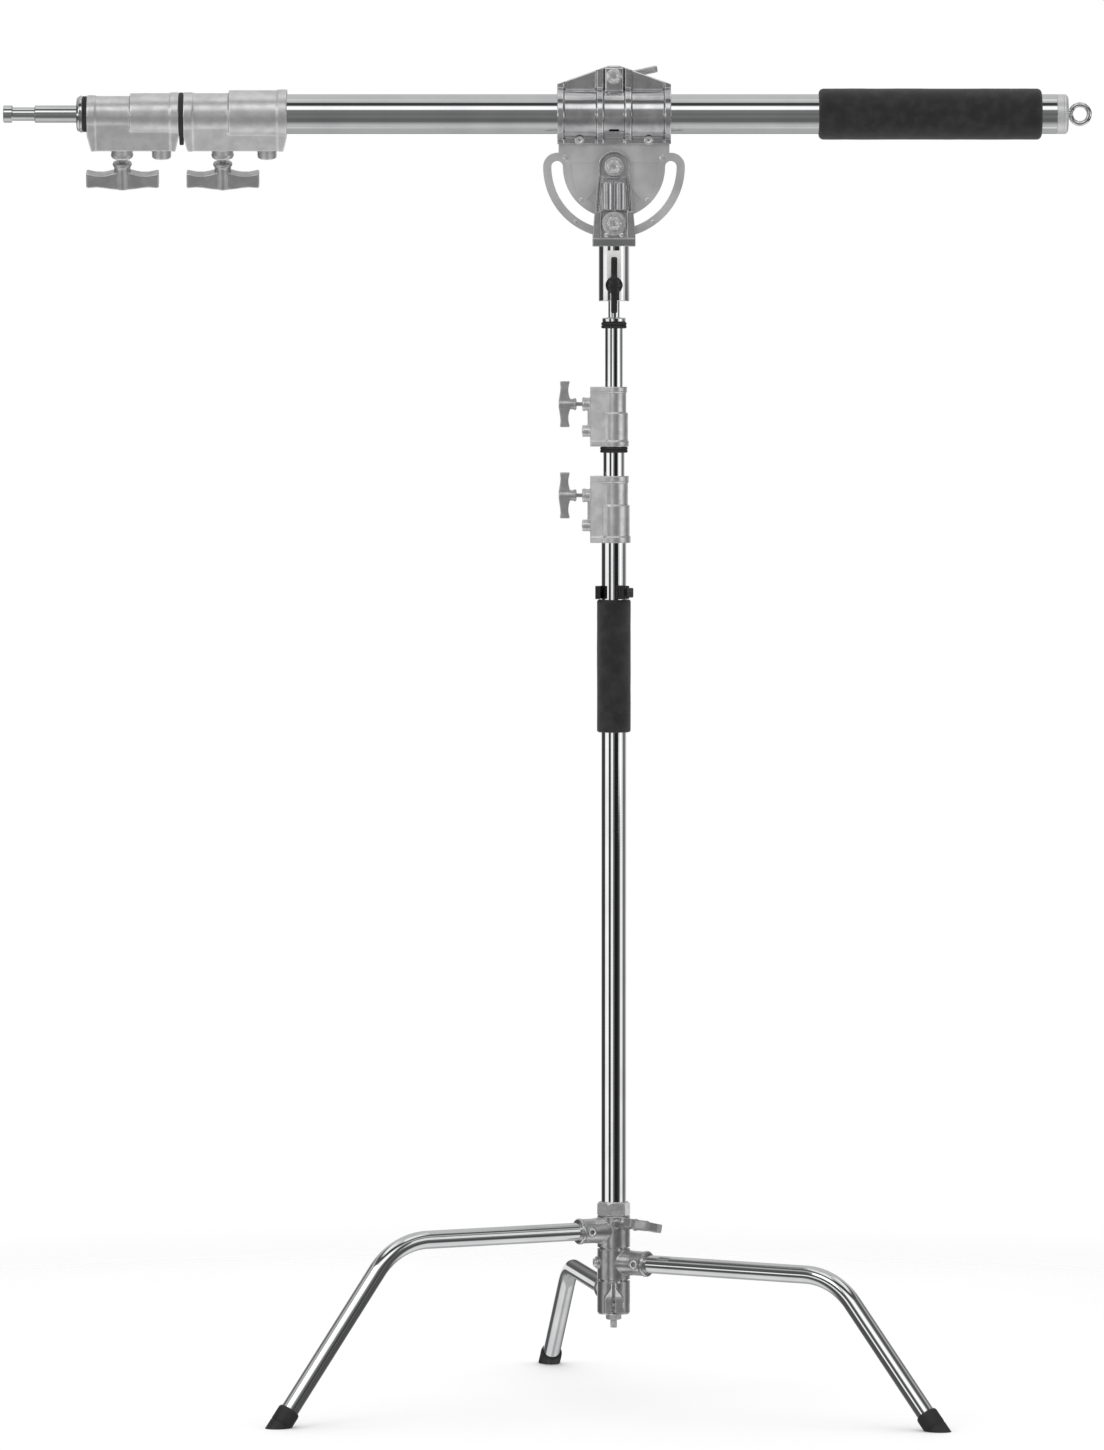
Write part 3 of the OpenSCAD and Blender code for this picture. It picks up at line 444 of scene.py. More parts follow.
@dataclass(frozen=True)
class BoltSteel(Finish):
    """Zinc-plated bolts and nuts: bright with small dull patches and painted shade in their hollows."""

    name: str = "bolt_steel"
    slot: str = "bright_steel"
    tint: tuple = (0.84, 0.84, 0.84)
    shade: tuple = (0.58, 0.58, 0.585)

    def constants(self) -> dict:
        """Zinc scatters part of the light."""
        return {"Metallic": 0.74}

    def paint(self, recipe: Recipe) -> dict:
        """Patches in colour and roughness, bright corners, painted shade in the hollows.

        Args:
            recipe: The material's recipe.

        Returns:
            Shader inputs by name.
        """
        patches = recipe.noise(260, 3)
        grain = recipe.noise(2200, 2)
        # painted shade: near-black mixed into concave places where head, washer and shank meet
        hollow = 1 - recipe.edges(0.44, 0.49)
        body = recipe.mix(patches.step(0.35, 0.68), self.tint, self.shade)
        dark = recipe.mix(hollow * 0.8, body, (0.10, 0.10, 0.102))
        return {
            "Base Color": recipe.mix(recipe.edges() * 0.5, dark, (0.93, 0.93, 0.93)),
            "Roughness": patches * 0.2 + 0.12,
            "Normal": recipe.relief(patches + grain * 0.4, 0.14, 0.1),
        }


@dataclass(frozen=True)
class Rubber(Finish):
    """Black moulded rubber or plastic: a fine leathery skin with scuffed edges."""

    name: str = "black_rubber"
    slot: str = "black_rubber"
    tint: tuple = (0.012, 0.012, 0.013)
    scuff: tuple = (0.05, 0.05, 0.052)
    roughness: float = 0.42
    grain: float = 1300

    def constants(self) -> dict:
        """Not a metal."""
        return {"Metallic": 0.0, "Specular IOR Level": 0.45}

    def paint(self, recipe: Recipe) -> dict:
        """Skin grain in the relief, scuffs on the edges.

        Args:
            recipe: The material's recipe.

        Returns:
            Shader inputs by name.
        """
        grain = recipe.cells(self.grain)
        cloud = recipe.noise(120, 3)
        return {
            "Base Color": recipe.mix(recipe.edges() * cloud, self.tint, self.scuff),
            "Roughness": cloud * 0.16 + grain * 0.08 + self.roughness,
            "Normal": recipe.relief(grain, 0.2, 0.08),
        }


@dataclass(frozen=True)
class FoamRubber(Finish):
    """Closed-cell foam sleeve: matt black with fine open pores."""

    name: str = "black_foam"
    slot: str = "black_foam"
    tint: tuple = (0.010, 0.010, 0.011)
    dust: tuple = (0.030, 0.030, 0.031)

    def constants(self) -> dict:
        """Not a metal; a soft grazing sheen."""
        return {"Metallic": 0.0, "Specular IOR Level": 0.25, "Sheen Weight": 0.12, "Sheen Roughness": 0.6}

    def paint(self, recipe: Recipe) -> dict:
        """Pores in the relief, dust in the colour.

        Args:
            recipe: The material's recipe.

        Returns:
            Shader inputs by name.
        """
        pores = recipe.cells(1700)
        large = recipe.cells(520)
        dust = recipe.noise(60, 4)
        return {
            "Base Color": recipe.mix(dust.step(0.35, 0.75) * pores, self.tint, self.dust),
            "Roughness": pores * 0.12 + dust * 0.1 + 0.7,
            "Normal": recipe.relief(pores + large * 0.5, 0.5, 0.2),
        }


@dataclass(frozen=True)
class SoftMetal(Finish):
    """Turned brass with machining rings."""

    name: str = "turned_brass"
    slot: str = "brass_insert"
    tint: tuple = (0.78, 0.55, 0.22)
    shade: tuple = (0.52, 0.34, 0.12)

    def constants(self) -> dict:
        """A full metal."""
        return {"Metallic": 1.0}

    def paint(self, recipe: Recipe) -> dict:
        """Machining rings along the bore and tarnish in patches.

        Args:
            recipe: The material's recipe.

        Returns:
            Shader inputs by name.
        """
        rings = recipe.noise(2400, 1, (0.05, 1, 0.05))
        tarnish = recipe.noise(300, 3)
        return {
            "Base Color": recipe.mix(tarnish.step(0.4, 0.8), self.tint, self.shade),
            "Roughness": tarnish * 0.2 + 0.16,
            "Normal": recipe.relief(rings, 0.2, 0.08),
        }


@dataclass(frozen=True)
class PrintedLabel(Finish):
    """Blank pale label with a fine paper grain and soft handling marks."""

    name: str = "blank_label"
    slot: str = "blank_label"
    tint: tuple = (0.62, 0.62, 0.61)
    shade: tuple = (0.52, 0.52, 0.515)

    def constants(self) -> dict:
        """A coated paper."""
        return {"Metallic": 0.0, "Coat Roughness": 0.3}

    def paint(self, recipe: Recipe) -> dict:
        """Paper grain and soft handling marks.

        Args:
            recipe: The material's recipe.

        Returns:
            Shader inputs by name.
        """
        grain = recipe.noise(2600, 2)
        marks = recipe.noise(90, 3)
        return {
            "Base Color": recipe.mix(marks.step(0.4, 0.8), self.tint, self.shade),
            "Roughness": marks * 0.2 + 0.34,
            "Normal": recipe.relief(grain, 0.1, 0.05),
        }


TUBE = PolishedSteel()
ARM_TUBE = PolishedSteel("polished_arm_tube", along=(0.02, 1, 1))
LEG_TUBE = PolishedSteel("polished_leg_tube", along=(1, 1, 1))
SPIGOT_STEEL = PolishedSteel("polished_spigot", roughness=0.07, along=(1, 1, 1))
SOCKET_STEEL = PolishedSteel("polished_socket", shade=(0.60, 0.605, 0.61), roughness=0.08)
CASTING = CastAluminium()
ARM_CASTING = CastAluminium("cast_arm_aluminium", tint=(0.80, 0.80, 0.80), shade=(0.66, 0.66, 0.665),
                            roughness=0.26, metallic=0.85)
HUB_CASTING = CastAluminium("cast_hub_alloy", tint=(0.66, 0.66, 0.665), shade=(0.50, 0.50, 0.505), roughness=0.18,
                            metallic=0.92)
HANDLE_CASTING = CastAluminium("cast_handle_alloy", tint=(0.62, 0.62, 0.625), shade=(0.48, 0.48, 0.485),
                               metallic=0.85)
CLAMP_STEEL = PressedSteel()
BRACKET_STEEL = PressedSteel("pressed_bracket", tint=(0.70, 0.70, 0.71), roughness=0.15)
PLATE = PlateSteel()
PLUG_FACE = PlateSteel("turned_plug", tint=(0.74, 0.74, 0.74), shade=(0.62, 0.62, 0.625), brush=(1, 0.05, 1))
BOLTS = BoltSteel()
RUBBER = Rubber()
PLASTIC = Rubber("black_plastic", "black_plastic", roughness=0.3, grain=900)
BUSH_NYLON = Rubber("nylon_bush", "nylon_bush", (0.03, 0.03, 0.032), (0.09, 0.09, 0.09))
FOAM = FoamRubber()
BRASS = SoftMetal()
LABEL = PrintedLabel()


# ---------------------------------------------------------------- modelling bench


class Bench:
    """The modelling moves that every piece is made with. Lengths are in millimetres."""

    @staticmethod
    def clear() -> None:
        """Leaves edit mode and deselects everything."""
        if bpy.context.mode != "OBJECT":
            bpy.ops.object.mode_set(mode="OBJECT")
        bpy.ops.object.select_all(action="DESELECT")

    @classmethod
    def pick(cls, *pieces: bpy.types.Object) -> None:
        """Selects pieces and makes the first one active.

        Args:
            pieces: The pieces to select.
        """
        cls.clear()
        for piece in pieces:
            piece.select_set(True)
        bpy.context.view_layer.objects.active = pieces[0]

    @classmethod
    def edit(cls, piece: bpy.types.Object, action: str = "SELECT", mode: str = "VERT") -> None:
        """Opens a piece in edit mode with all or nothing selected.

        Args:
            piece: The piece to work on.
            action: What select_all does first.
            mode: The kind of element.
        """
        cls.pick(piece)
        bpy.ops.object.mode_set(mode="EDIT")
        bpy.ops.mesh.select_mode(type=mode)
        bpy.ops.mesh.select_all(action=action)

    @classmethod
    def settle_new(cls, name: str) -> bpy.types.Object:
        """Names the primitive just added and puts its place into its mesh.

        Args:
            name: The piece's name.

        Returns:
            The piece.
        """
        piece = bpy.context.object
        piece.name = piece.data.name = name
        bpy.ops.object.transform_apply(location=True, rotation=True, scale=True)
        return piece

    @classmethod
    def turned(cls, name: str, profile: list, sides: int = 96, hollow: bool = False) -> bpy.types.Object:
        """Raises a circle ring by ring into a body turned on the Z axis.

        Args:
            name: The piece's name.
            profile: (radius, height) of each ring. A hollow body's profile runs back to near its start.
            sides: Sides of the circle.
            hollow: Whether the last ring is bridged to the first, and not both capped.

        Returns:
            The new piece.
        """
        cls.clear()
        radius, height = profile[0]
        bpy.ops.mesh.primitive_circle_add(
            vertices=sides, radius=radius * MM, fill_type="NOTHING", location=(0, 0, height * MM)
        )
        piece = cls.settle_new(name)
        cls.edit(piece)
        for wider, higher in profile[1:]:
            bpy.ops.mesh.extrude_region_move(
                TRANSFORM_OT_translate={"value": (0, 0, (higher - height) * MM)}
            )
            if wider != radius:
                ratio = wider / radius
                bpy.ops.transform.resize(value=(ratio, ratio, 1), center_override=(0, 0, higher * MM))
            radius, height = wider, higher
        bpy.ops.mesh.select_all(action="DESELECT")
        bpy.ops.mesh.select_non_manifold()
        if hollow:
            bpy.ops.mesh.bridge_edge_loops()
        else:
            bpy.ops.mesh.fill_holes(sides=0)
        cls.outward(piece)
        return piece

    @classmethod
    def outward(cls, piece: bpy.types.Object) -> None:
        """Points all faces outward and leaves edit mode.

        Args:
            piece: The piece to work on.
        """
        if bpy.context.mode == "OBJECT":
            cls.edit(piece)
        bpy.ops.mesh.select_all(action="SELECT")
        bpy.ops.mesh.normals_make_consistent(inside=False)
        bpy.ops.object.mode_set(mode="OBJECT")

    @classmethod
    def prism(cls, name: str, outline: list, low: float, high: float) -> bpy.types.Object:
        """Raises a flat outline from one height to another.

        Args:
            name: The piece's name.
            outline: (x, y) corners in order.
            low: Height of its lower end.
            high: Height of its upper end.

        Returns:
            The piece.
        """
        cls.clear()
        x, y = outline[0]
        bpy.ops.mesh.primitive_circle_add(
            vertices=3, radius=MM, fill_type="NOTHING", location=(x * MM, y * MM, low * MM)
        )
        piece = cls.settle_new(name)
        cls.edit(piece)
        bpy.ops.mesh.merge(type="CENTER")
        for next_x, next_y in outline[1:]:
            bpy.ops.mesh.extrude_region_move(
                TRANSFORM_OT_translate={"value": ((next_x - x) * MM, (next_y - y) * MM, 0)}
            )
            x, y = next_x, next_y
        bpy.ops.mesh.select_all(action="SELECT")
        bpy.ops.mesh.edge_face_add()
        bpy.ops.mesh.extrude_region_move(TRANSFORM_OT_translate={"value": (0, 0, (high - low) * MM)})
        cls.outward(piece)
        return piece

    @classmethod
    def block(cls, name: str, low: tuple, high: tuple, edge: float = 0) -> bpy.types.Object:
        """A block between two corners, with its edges rounded.

        Args:
            name: The piece's name.
            low: Its lowest corner.
            high: Its highest corner.
            edge: Rounding of the edges.

        Returns:
            The piece.
        """
        cls.clear()
        middle = [(a + b) / 2 * MM for a, b in zip(low, high)]
        size = [(b - a) * MM for a, b in zip(low, high)]
        bpy.ops.mesh.primitive_cube_add(size=1, location=middle, scale=size)
        piece = cls.settle_new(name)
        if edge:
            cls.edit(piece, mode="EDGE")
            bpy.ops.mesh.bevel(offset=edge * MM, segments=3, affect="EDGES")
            cls.outward(piece)
        return piece

    @classmethod
    def ring(cls, name: str, radius: float, wire: float, height: float = 0, sides: int = 96) -> bpy.types.Object:
        """A round ring of round wire about the Z axis.

        Args:
            name: The piece's name.
            radius: Radius of the ring.
            wire: Diameter of the wire.
            height: Height in millimetres.
            sides: Sides of the circle.

        Returns:
            The piece.
        """
        cls.clear()
        bpy.ops.mesh.primitive_torus_add(
            major_radius=radius * MM, minor_radius=wire / 2 * MM,
            major_segments=sides, minor_segments=20, location=(0, 0, height * MM),
        )
        return cls.settle_new(name)

    @classmethod
    def hexagon(cls, name: str, flats: float, low: float, high: float) -> bpy.types.Object:
        """A hexagonal head with its corners turned off at the top.

        Args:
            name: The piece's name.
            flats: Width over the flats.
            low: Height of its lower end.
            high: Height of its upper end.

        Returns:
            The piece.
        """
        corner = flats / 2 / math.cos(math.pi / 6)
        outline = [
            (corner * math.cos(math.radians(60 * k)), corner * math.sin(math.radians(60 * k)))
            for k in range(6)
        ]
        head = cls.prism(name, outline, low, high)
        drop = (corner - flats / 2) * 0.9
        form = cls.turned(name + "_form", [
            (corner + 1, low - 1), (corner + 1, high - drop), (flats / 2 * 0.96, high), (flats / 2 * 0.3, high),
        ], 48)
        cls.carve(head, form, "INTERSECT")
        return cls.rounded(head, 0.25, 2)

    @classmethod
    def carve(cls, piece: bpy.types.Object, tool: bpy.types.Object, how: str = "DIFFERENCE") -> bpy.types.Object:
        """Cuts, joins or trims a piece with a tool, which is used up.

        Args:
            piece: The piece to work on.
            tool: The other solid.
            how: The Boolean operation.

        Returns:
            The same piece.
        """
        modifier = piece.modifiers.new("carve", "BOOLEAN")
        modifier.operation = how
        modifier.object = tool
        modifier.solver = "EXACT"
        cls.pick(piece)
        bpy.ops.object.modifier_apply(modifier=modifier.name)
        cls.scrap(tool)
        return piece

    @staticmethod
    def scrap(piece: bpy.types.Object) -> None:
        """Removes a tool and its mesh.

        Args:
            piece: The piece to work on.
        """
        mesh = piece.data
        bpy.data.objects.remove(piece)
        bpy.data.meshes.remove(mesh)

    @classmethod
    def joined(cls, name: str, *parts: bpy.types.Object) -> bpy.types.Object:
        """Joins parts into one piece.

        Args:
            name: The piece's name.
            parts: The parts to join.

        Returns:
            The joined piece.
        """
        cls.pick(*parts)
        if len(parts) > 1:
            bpy.ops.object.join()
        piece = bpy.context.object
        piece.name = piece.data.name = name
        return piece

    @classmethod
    def apply(cls, piece: bpy.types.Object, kind: str, **settings: object) -> bpy.types.Object:
        """Adds a modifier with its settings and applies it.

        Args:
            piece: The piece to work on.
            kind: The modifier's type.
            settings: Its settings.

        Returns:
            The same piece.
        """
        modifier = piece.modifiers.new(kind.lower(), kind)
        for key, value in settings.items():
            setattr(modifier, key, value)
        cls.pick(piece)
        bpy.ops.object.modifier_apply(modifier=modifier.name)
        return piece

    @classmethod
    def rounded(cls, piece: bpy.types.Object, radius: float, segments: int = 3,
                angle: float = 30) -> bpy.types.Object:
        """Rounds the edges that are sharper than an angle.

        Args:
            piece: The piece to work on.
            radius: Radius of the ring.
            segments: Steps in the rounding.
            angle: Sharpness in degrees that counts as an edge.

        Returns:
            The same piece.
        """
        return cls.apply(
            piece, "BEVEL", width=radius * MM, segments=segments, limit_method="ANGLE",
            angle_limit=math.radians(angle), use_clamp_overlap=True,
        )

    @classmethod
    def cast(cls, piece: bpy.types.Object, grain: float, passes: int) -> bpy.types.Object:
        """Melts overlapping parts into one skin with soft fillets, as a casting has.

        Args:
            piece: The piece to work on.
            grain: Size of the skin's cells.
            passes: How often the skin is smoothed.

        Returns:
            The same piece.
        """
        piece.data.remesh_voxel_size = grain * MM
        piece.data.use_remesh_preserve_volume = False
        cls.pick(piece)
        bpy.ops.object.voxel_remesh()
        cls.apply(piece, "SMOOTH", factor=0.5, iterations=passes)
        bpy.ops.object.shade_smooth()
        return piece

    @classmethod
    def copy_of(cls, node: str, name: str) -> bpy.types.Object:
        """A merged copy of a frame node, to work on.

        Args:
            node: The frame node.
            name: The copy's name.

        Returns:
            The copy.
        """
        source = frame["nodes"][node]
        piece = bpy.data.objects.new(name, source.data.copy())
        piece.data.name = name
        bpy.context.scene.collection.objects.link(piece)
        piece.data.materials.clear()
        cls.edit(piece)
        bpy.ops.mesh.customdata_custom_splitnormals_clear()
        bpy.ops.mesh.remove_doubles(threshold=0.002 * MM)
        cls.outward(piece)
        return piece

    @classmethod
    def place(cls, piece: bpy.types.Object, matrix: Matrix) -> bpy.types.Object:
        """Moves a piece by a matrix and puts the move into its mesh.

        Args:
            piece: The piece to move.
            matrix: The move.

        Returns:
            The piece.
        """
        piece.matrix_world = matrix
        bpy.context.view_layer.update()
        cls.pick(piece)
        bpy.ops.object.transform_apply(location=True, rotation=True, scale=True)
        return piece

    @classmethod
    def smooth(cls, piece: bpy.types.Object, angle: float = 32) -> bpy.types.Object:
        """Shades a piece smooth except over edges sharper than an angle.

        Args:
            piece: The piece to work on.
            angle: Sharpness in degrees that counts as an edge.

        Returns:
            The same piece.
        """
        cls.pick(piece)
        bpy.ops.object.shade_smooth_by_angle(angle=math.radians(angle))
        return cls.apply(piece, "WEIGHTED_NORMAL", keep_sharp=True)


# ---------------------------------------------------------------- places


def shift(x: float = 0, y: float = 0, z: float = 0) -> Matrix:
    """A move in millimetres."""
    return Matrix.Translation((x * MM, y * MM, z * MM))


def turn(degrees: float, axis: str) -> Matrix:
    """A turn about an axis."""
    return Matrix.Rotation(math.radians(degrees), 4, axis)


@dataclass(frozen=True)
class Places:
    """The frame's main places, in millimetres."""

    axis_x: float
    axis_y: float
    pivot_z: float
    arm_z: float
    arm_roll: float = 22

    @classmethod
    def from_frame(cls) -> "Places":
        """Reads the places from the frame's boxes.

        Returns:
            The places.
        """
        column_low, column_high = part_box("column_tube")
        pin_low, pin_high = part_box("pivot_bolt")
        arm_low, arm_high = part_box("boom_tube")
        return cls(
            (column_low[0] + column_high[0]) / 2 / MM,
            (column_low[1] + column_high[1]) / 2 / MM,
            (pin_low[2] + pin_high[2]) / 2 / MM,
            (arm_low[2] + arm_high[2]) / 2 / MM,
        )

    def stand(self, z: float = 0) -> Matrix:
        """Stands a piece on the column axis."""
        return shift(self.axis_x, self.axis_y, z)

    def arm(self, x: float) -> Matrix:
        """Lays an upright piece along the arm, its top pointing away from the pivot."""
        return self.stand(self.arm_z) @ turn(self.arm_roll, "X") @ shift(x) @ turn(-90, "Y")

    def front(self, z: float) -> Matrix:
        """Points an upright piece to the front at a height; its Y runs up."""
        return self.stand(z) @ turn(90, "X")

    def rear(self, z: float) -> Matrix:
        """Points an upright piece to the rear at a height; its Y runs up."""
        return self.stand(z) @ turn(180, "Z") @ turn(90, "X")

    def outward(self, azimuth: float, z: float) -> Matrix:
        """Points an upright piece away from the column at a compass angle."""
        return self.stand(z) @ turn(azimuth, "Z") @ turn(90, "Y")


PLACES = Places.from_frame()


def low_z(node: str) -> float:
    """Lowest height of a node in millimetres."""
    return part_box(node)[0][2] / MM


def high_z(node: str) -> float:
    """Highest height of a node in millimetres."""
    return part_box(node)[1][2] / MM


class Assembly:
    """A sub-assembly: it builds its pieces and settles each one on its body."""

    def __init__(self) -> None:
        """Starts with no pieces."""
        self.pieces: list[str] = []

    def settle(self, piece: bpy.types.Object, finish: Finish, *nodes: str, body: str = "",
               angle: float | None = 32) -> bpy.types.Object:
        """Dresses a piece and hands it to the frame.

        Args:
            piece: The finished mesh.
            finish: Its finish.
            nodes: The frame nodes it stands for.
            body: The body it rides on, where it stands for no node.
            angle: Sharpness above which edges stay crisp; None keeps the shading.

        Returns:
            The piece.
        """
        if angle is not None:
            Bench.smooth(piece, angle)
        piece.data.materials.clear()
        piece.data.materials.append(material_of(finish))
        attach(piece, body or frame["nodes"][nodes[0]]["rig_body"])
        if nodes:
            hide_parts(*nodes)
        self.pieces.append(piece.name)
        log.info("%s: %s, %d faces", piece.name, finish.name, len(piece.data.polygons))
        return piece

    def keep(self, node: str, finish: Finish) -> None:
        """Keeps a frame node and gives it a finish.

        Args:
            node: The frame node.
            finish: The finish to use.
        """
        piece = frame["nodes"][node]
        piece.data.materials.clear()
        piece.data.materials.append(material_of(finish))
        self.pieces.append(node)
        log.info("%s: kept, %s", node, finish.name)


class HandleKind(Enum):
    """The sizes of T-shaped handle: bar length."""

    STAND = 64
    ARM = 101
    CLAMP = 124


@dataclass
class Handle:
    """A cast T-shaped handle on the Z axis, its bar along X, in the proportions of a 64 mm one."""

    kind: HandleKind
    screw_d: float
    screw_in: float
    neck_share: float = 0.125
    hub_h: float = 9
    hub_r: float = 8.5
    bar_depth: float = 12
    bored: bool = False

    def outline(self) -> list:
        """Half outline of the bar from its middle to its flared end, then mirrored.

        Returns:
            (x, z) corners in order.
        """
        half = [
            (0, -0.3), (5, -0.2), (8, 0.2), (12, 1.4), (17, 2.3), (23, 2.2), (28, 1.2), (31.2, 0.4), (32, 1.2),
            (32, 13.2), (31.4, 14), (28, 13.7), (23, 13.3), (17, 13.9), (10, 15), (5, 15.4), (0, 15.5),
        ]
        return half + [(-x, z) for x, z in reversed(half[1:-1])]

    def build(self, name: str) -> bpy.types.Object:
        """Models the handle; z = 0 is the face of the boss it screws into, or its hub's foot if bored.

        Args:
            name: The piece's name.

        Returns:
            The finished handle.
        """
        k = self.kind.value / 64
        neck = self.neck_share * self.kind.value
        base = 15 * k if self.bored else neck + self.hub_h * k
        bar = Bench.prism(name + "_bar", [(x * k, z * k) for x, z in self.outline()],
                          -self.bar_depth / 2 * k, self.bar_depth / 2 * k)
        Bench.rounded(bar, 1.6 * k, 3, 40)
        Bench.place(bar, shift(z=base) @ turn(90, "X"))
        if self.bored:
            hub_r = (self.screw_d + 11) / 2
            hub = Bench.turned(name + "_hub", [
                (hub_r - 1.5, 0), (hub_r, 1.5), (hub_r, base * 0.5), (hub_r - 1.5, base * 0.62),
                (hub_r - 0.5, base), (hub_r * 0.86, base + 15.4 * k), (hub_r * 0.7, base + 16 * k),
            ], 48)
        else:
            foot = neck
            hub = Bench.turned(name + "_hub", [
                (self.hub_r * 0.72 * k, foot), (self.hub_r * k, foot + 1.2 * k), (self.hub_r * k, foot + 3.2 * k),
                (self.hub_r * 0.86 * k, foot + 4.2 * k), (self.hub_r * 0.86 * k, base + 15.2 * k),
                (self.hub_r * 0.74 * k, base + 15.8 * k),
            ], 48)
        grip = Bench.joined(name, hub, bar)
        Bench.cast(grip, 0.55 * k, 3)
        if self.bored:
            return grip
        return Bench.joined(name, grip, thread(name + "_screw", self.screw_d, -self.screw_in, neck + k))


def thread(name: str, diameter: float, low: float, high: float, pitch: float = 1.6) -> bpy.types.Object:
    """A threaded rod on the Z axis, its ridges modelled as rings.

    Args:
        name: The piece's name.
        diameter: Outer diameter.
        low: Height of its lower end.
        high: Height of its upper end.
        pitch: Distance from ridge to ridge.

    Returns:
        The piece.
    """
    crest, root = diameter / 2, diameter / 2 - pitch * 0.42
    count = max(2, int((high - low) / pitch))
    step = (high - low) / count
    profile = [(root, low)]
    for k in range(count):
        start = low + k * step
        profile += [(crest, start + step * 0.42), (crest, start + step * 0.58), (root, start + step)]
    return Bench.smooth(Bench.turned(name, profile, 32), 50)


def hex_bolt(name: str, shank_d: float, shank_len: float, flats: float, head_h: float,
             washer_d: float, washer_h: float) -> bpy.types.Object:
    """A hexagon-headed bolt on its washer. Its shank runs down from z = 0.

    Args:
        name: The piece's name.
        shank_d: Diameter of the shank.
        shank_len: Length of the shank below z = 0.
        flats: Width over the flats.
        head_h: Height of the head.
        washer_d: Diameter of the washer.
        washer_h: Thickness of the washer.

    Returns:
        The piece.
    """
    washer = Bench.turned(name + "_washer", [
        (washer_d / 2 - 0.3, 0), (washer_d / 2, 0.3), (washer_d / 2, washer_h - 0.35),
        (washer_d / 2 - 0.5, washer_h), (shank_d / 2, washer_h),
    ], 64)
    head = Bench.hexagon(name + "_head", flats, washer_h, washer_h + head_h)
    dimple = Bench.turned(name + "_dimple", [
        (flats * 0.3, washer_h + head_h + 1), (flats * 0.3, washer_h + head_h - 0.2),
        (flats * 0.12, washer_h + head_h - 0.7),
    ], 48)
    Bench.carve(head, dimple)
    shank = thread(name + "_shank", shank_d, -shank_len, washer_h + 0.5)
    return Bench.joined(name, head, washer, shank)


def socket_screw(name: str, shank_d: float, shank_len: float, head_d: float, head_h: float) -> bpy.types.Object:
    """A socket-head screw. Its shank runs down from z = 0 and its drilled head stands up.

    Args:
        name: The piece's name.
        shank_d: Diameter of the shank.
        shank_len: Length of the shank below z = 0.
        head_d: Diameter of the head.
        head_h: Height of the head.

    Returns:
        The piece.
    """
    r = head_d / 2
    head = Bench.turned(name + "_head", [
        (r - 0.2, 0), (r, 0.2), (r, head_h - 0.7), (r - 0.2, head_h - 0.25), (r - 0.7, head_h), (r * 0.3, head_h),
    ], 64)
    corner = head_d * 0.27
    key = Bench.prism(name + "_key", [
        (corner * math.cos(math.radians(60 * k)), corner * math.sin(math.radians(60 * k))) for k in range(6)
    ], head_h * 0.35, head_h + 1)
    Bench.carve(head, key)
    shank = thread(name + "_shank", shank_d, -shank_len, head_h * 0.25, 1.2)
    return Bench.joined(name, head, shank)


def rivet(name: str, diameter: float, height: float) -> bpy.types.Object:
    """A low domed rivet head standing on z = 0.

    Args:
        name: The piece's name.
        diameter: Outer diameter.
        height: Height in millimetres.

    Returns:
        The piece.
    """
    r = diameter / 2
    return Bench.turned(name, [
        (r, -0.4), (r, height * 0.3), (r * 0.9, height * 0.72), (r * 0.62, height * 0.95), (r * 0.25, height),
    ], 32)


def tube(name: str, diameter: float, bore: float, low: float, high: float, lip: float = 0.5) -> bpy.types.Object:
    """A round tube on the Z axis with softly turned ends.

    Args:
        name: The piece's name.
        diameter: Outer diameter.
        bore: Diameter of the bore.
        low: Height of its lower end.
        high: Height of its upper end.
        lip: Rounding of the ends.

    Returns:
        The piece.
    """
    outer, inner = diameter / 2, bore / 2
    return Bench.turned(name, [
        (inner, low + lip), (inner + lip * 0.6, low), (outer - lip, low), (outer, low + lip),
        (outer, high - lip), (outer - lip, high), (inner + lip * 0.6, high), (inner, high - lip),
    ], 128, hollow=True)


def baby_pin(name: str, diameter: float, length: float, low: float) -> list:
    """Profile of a stud: body, waist and head, above a height.

    Args:
        name: The piece's name; not used.
        diameter: Outer diameter.
        length: Whole length.
        low: Height it starts at.

    Returns:
        (radius, height) pairs.
    """
    r = diameter / 2
    head, waist = length * 0.12, length * 0.31
    shoulder = low + length - head - waist
    return [
        (r, low), (r, shoulder - 1), (r - 1, shoulder), (r * 0.78, shoulder + 0.2),
        (r * 0.78, low + length - head - 1), (r, low + length - head), (r, low + length - 1.2),
        (r - 1.2, low + length), (r * 0.3, low + length),
    ]


# ---------------------------------------------------------------- legs and hub


@dataclass(frozen=True)
class LegShape:
    """One bent leg: which way it points and where its knee is."""

    name: str
    azimuth: float
    knee_r: float
    body: str


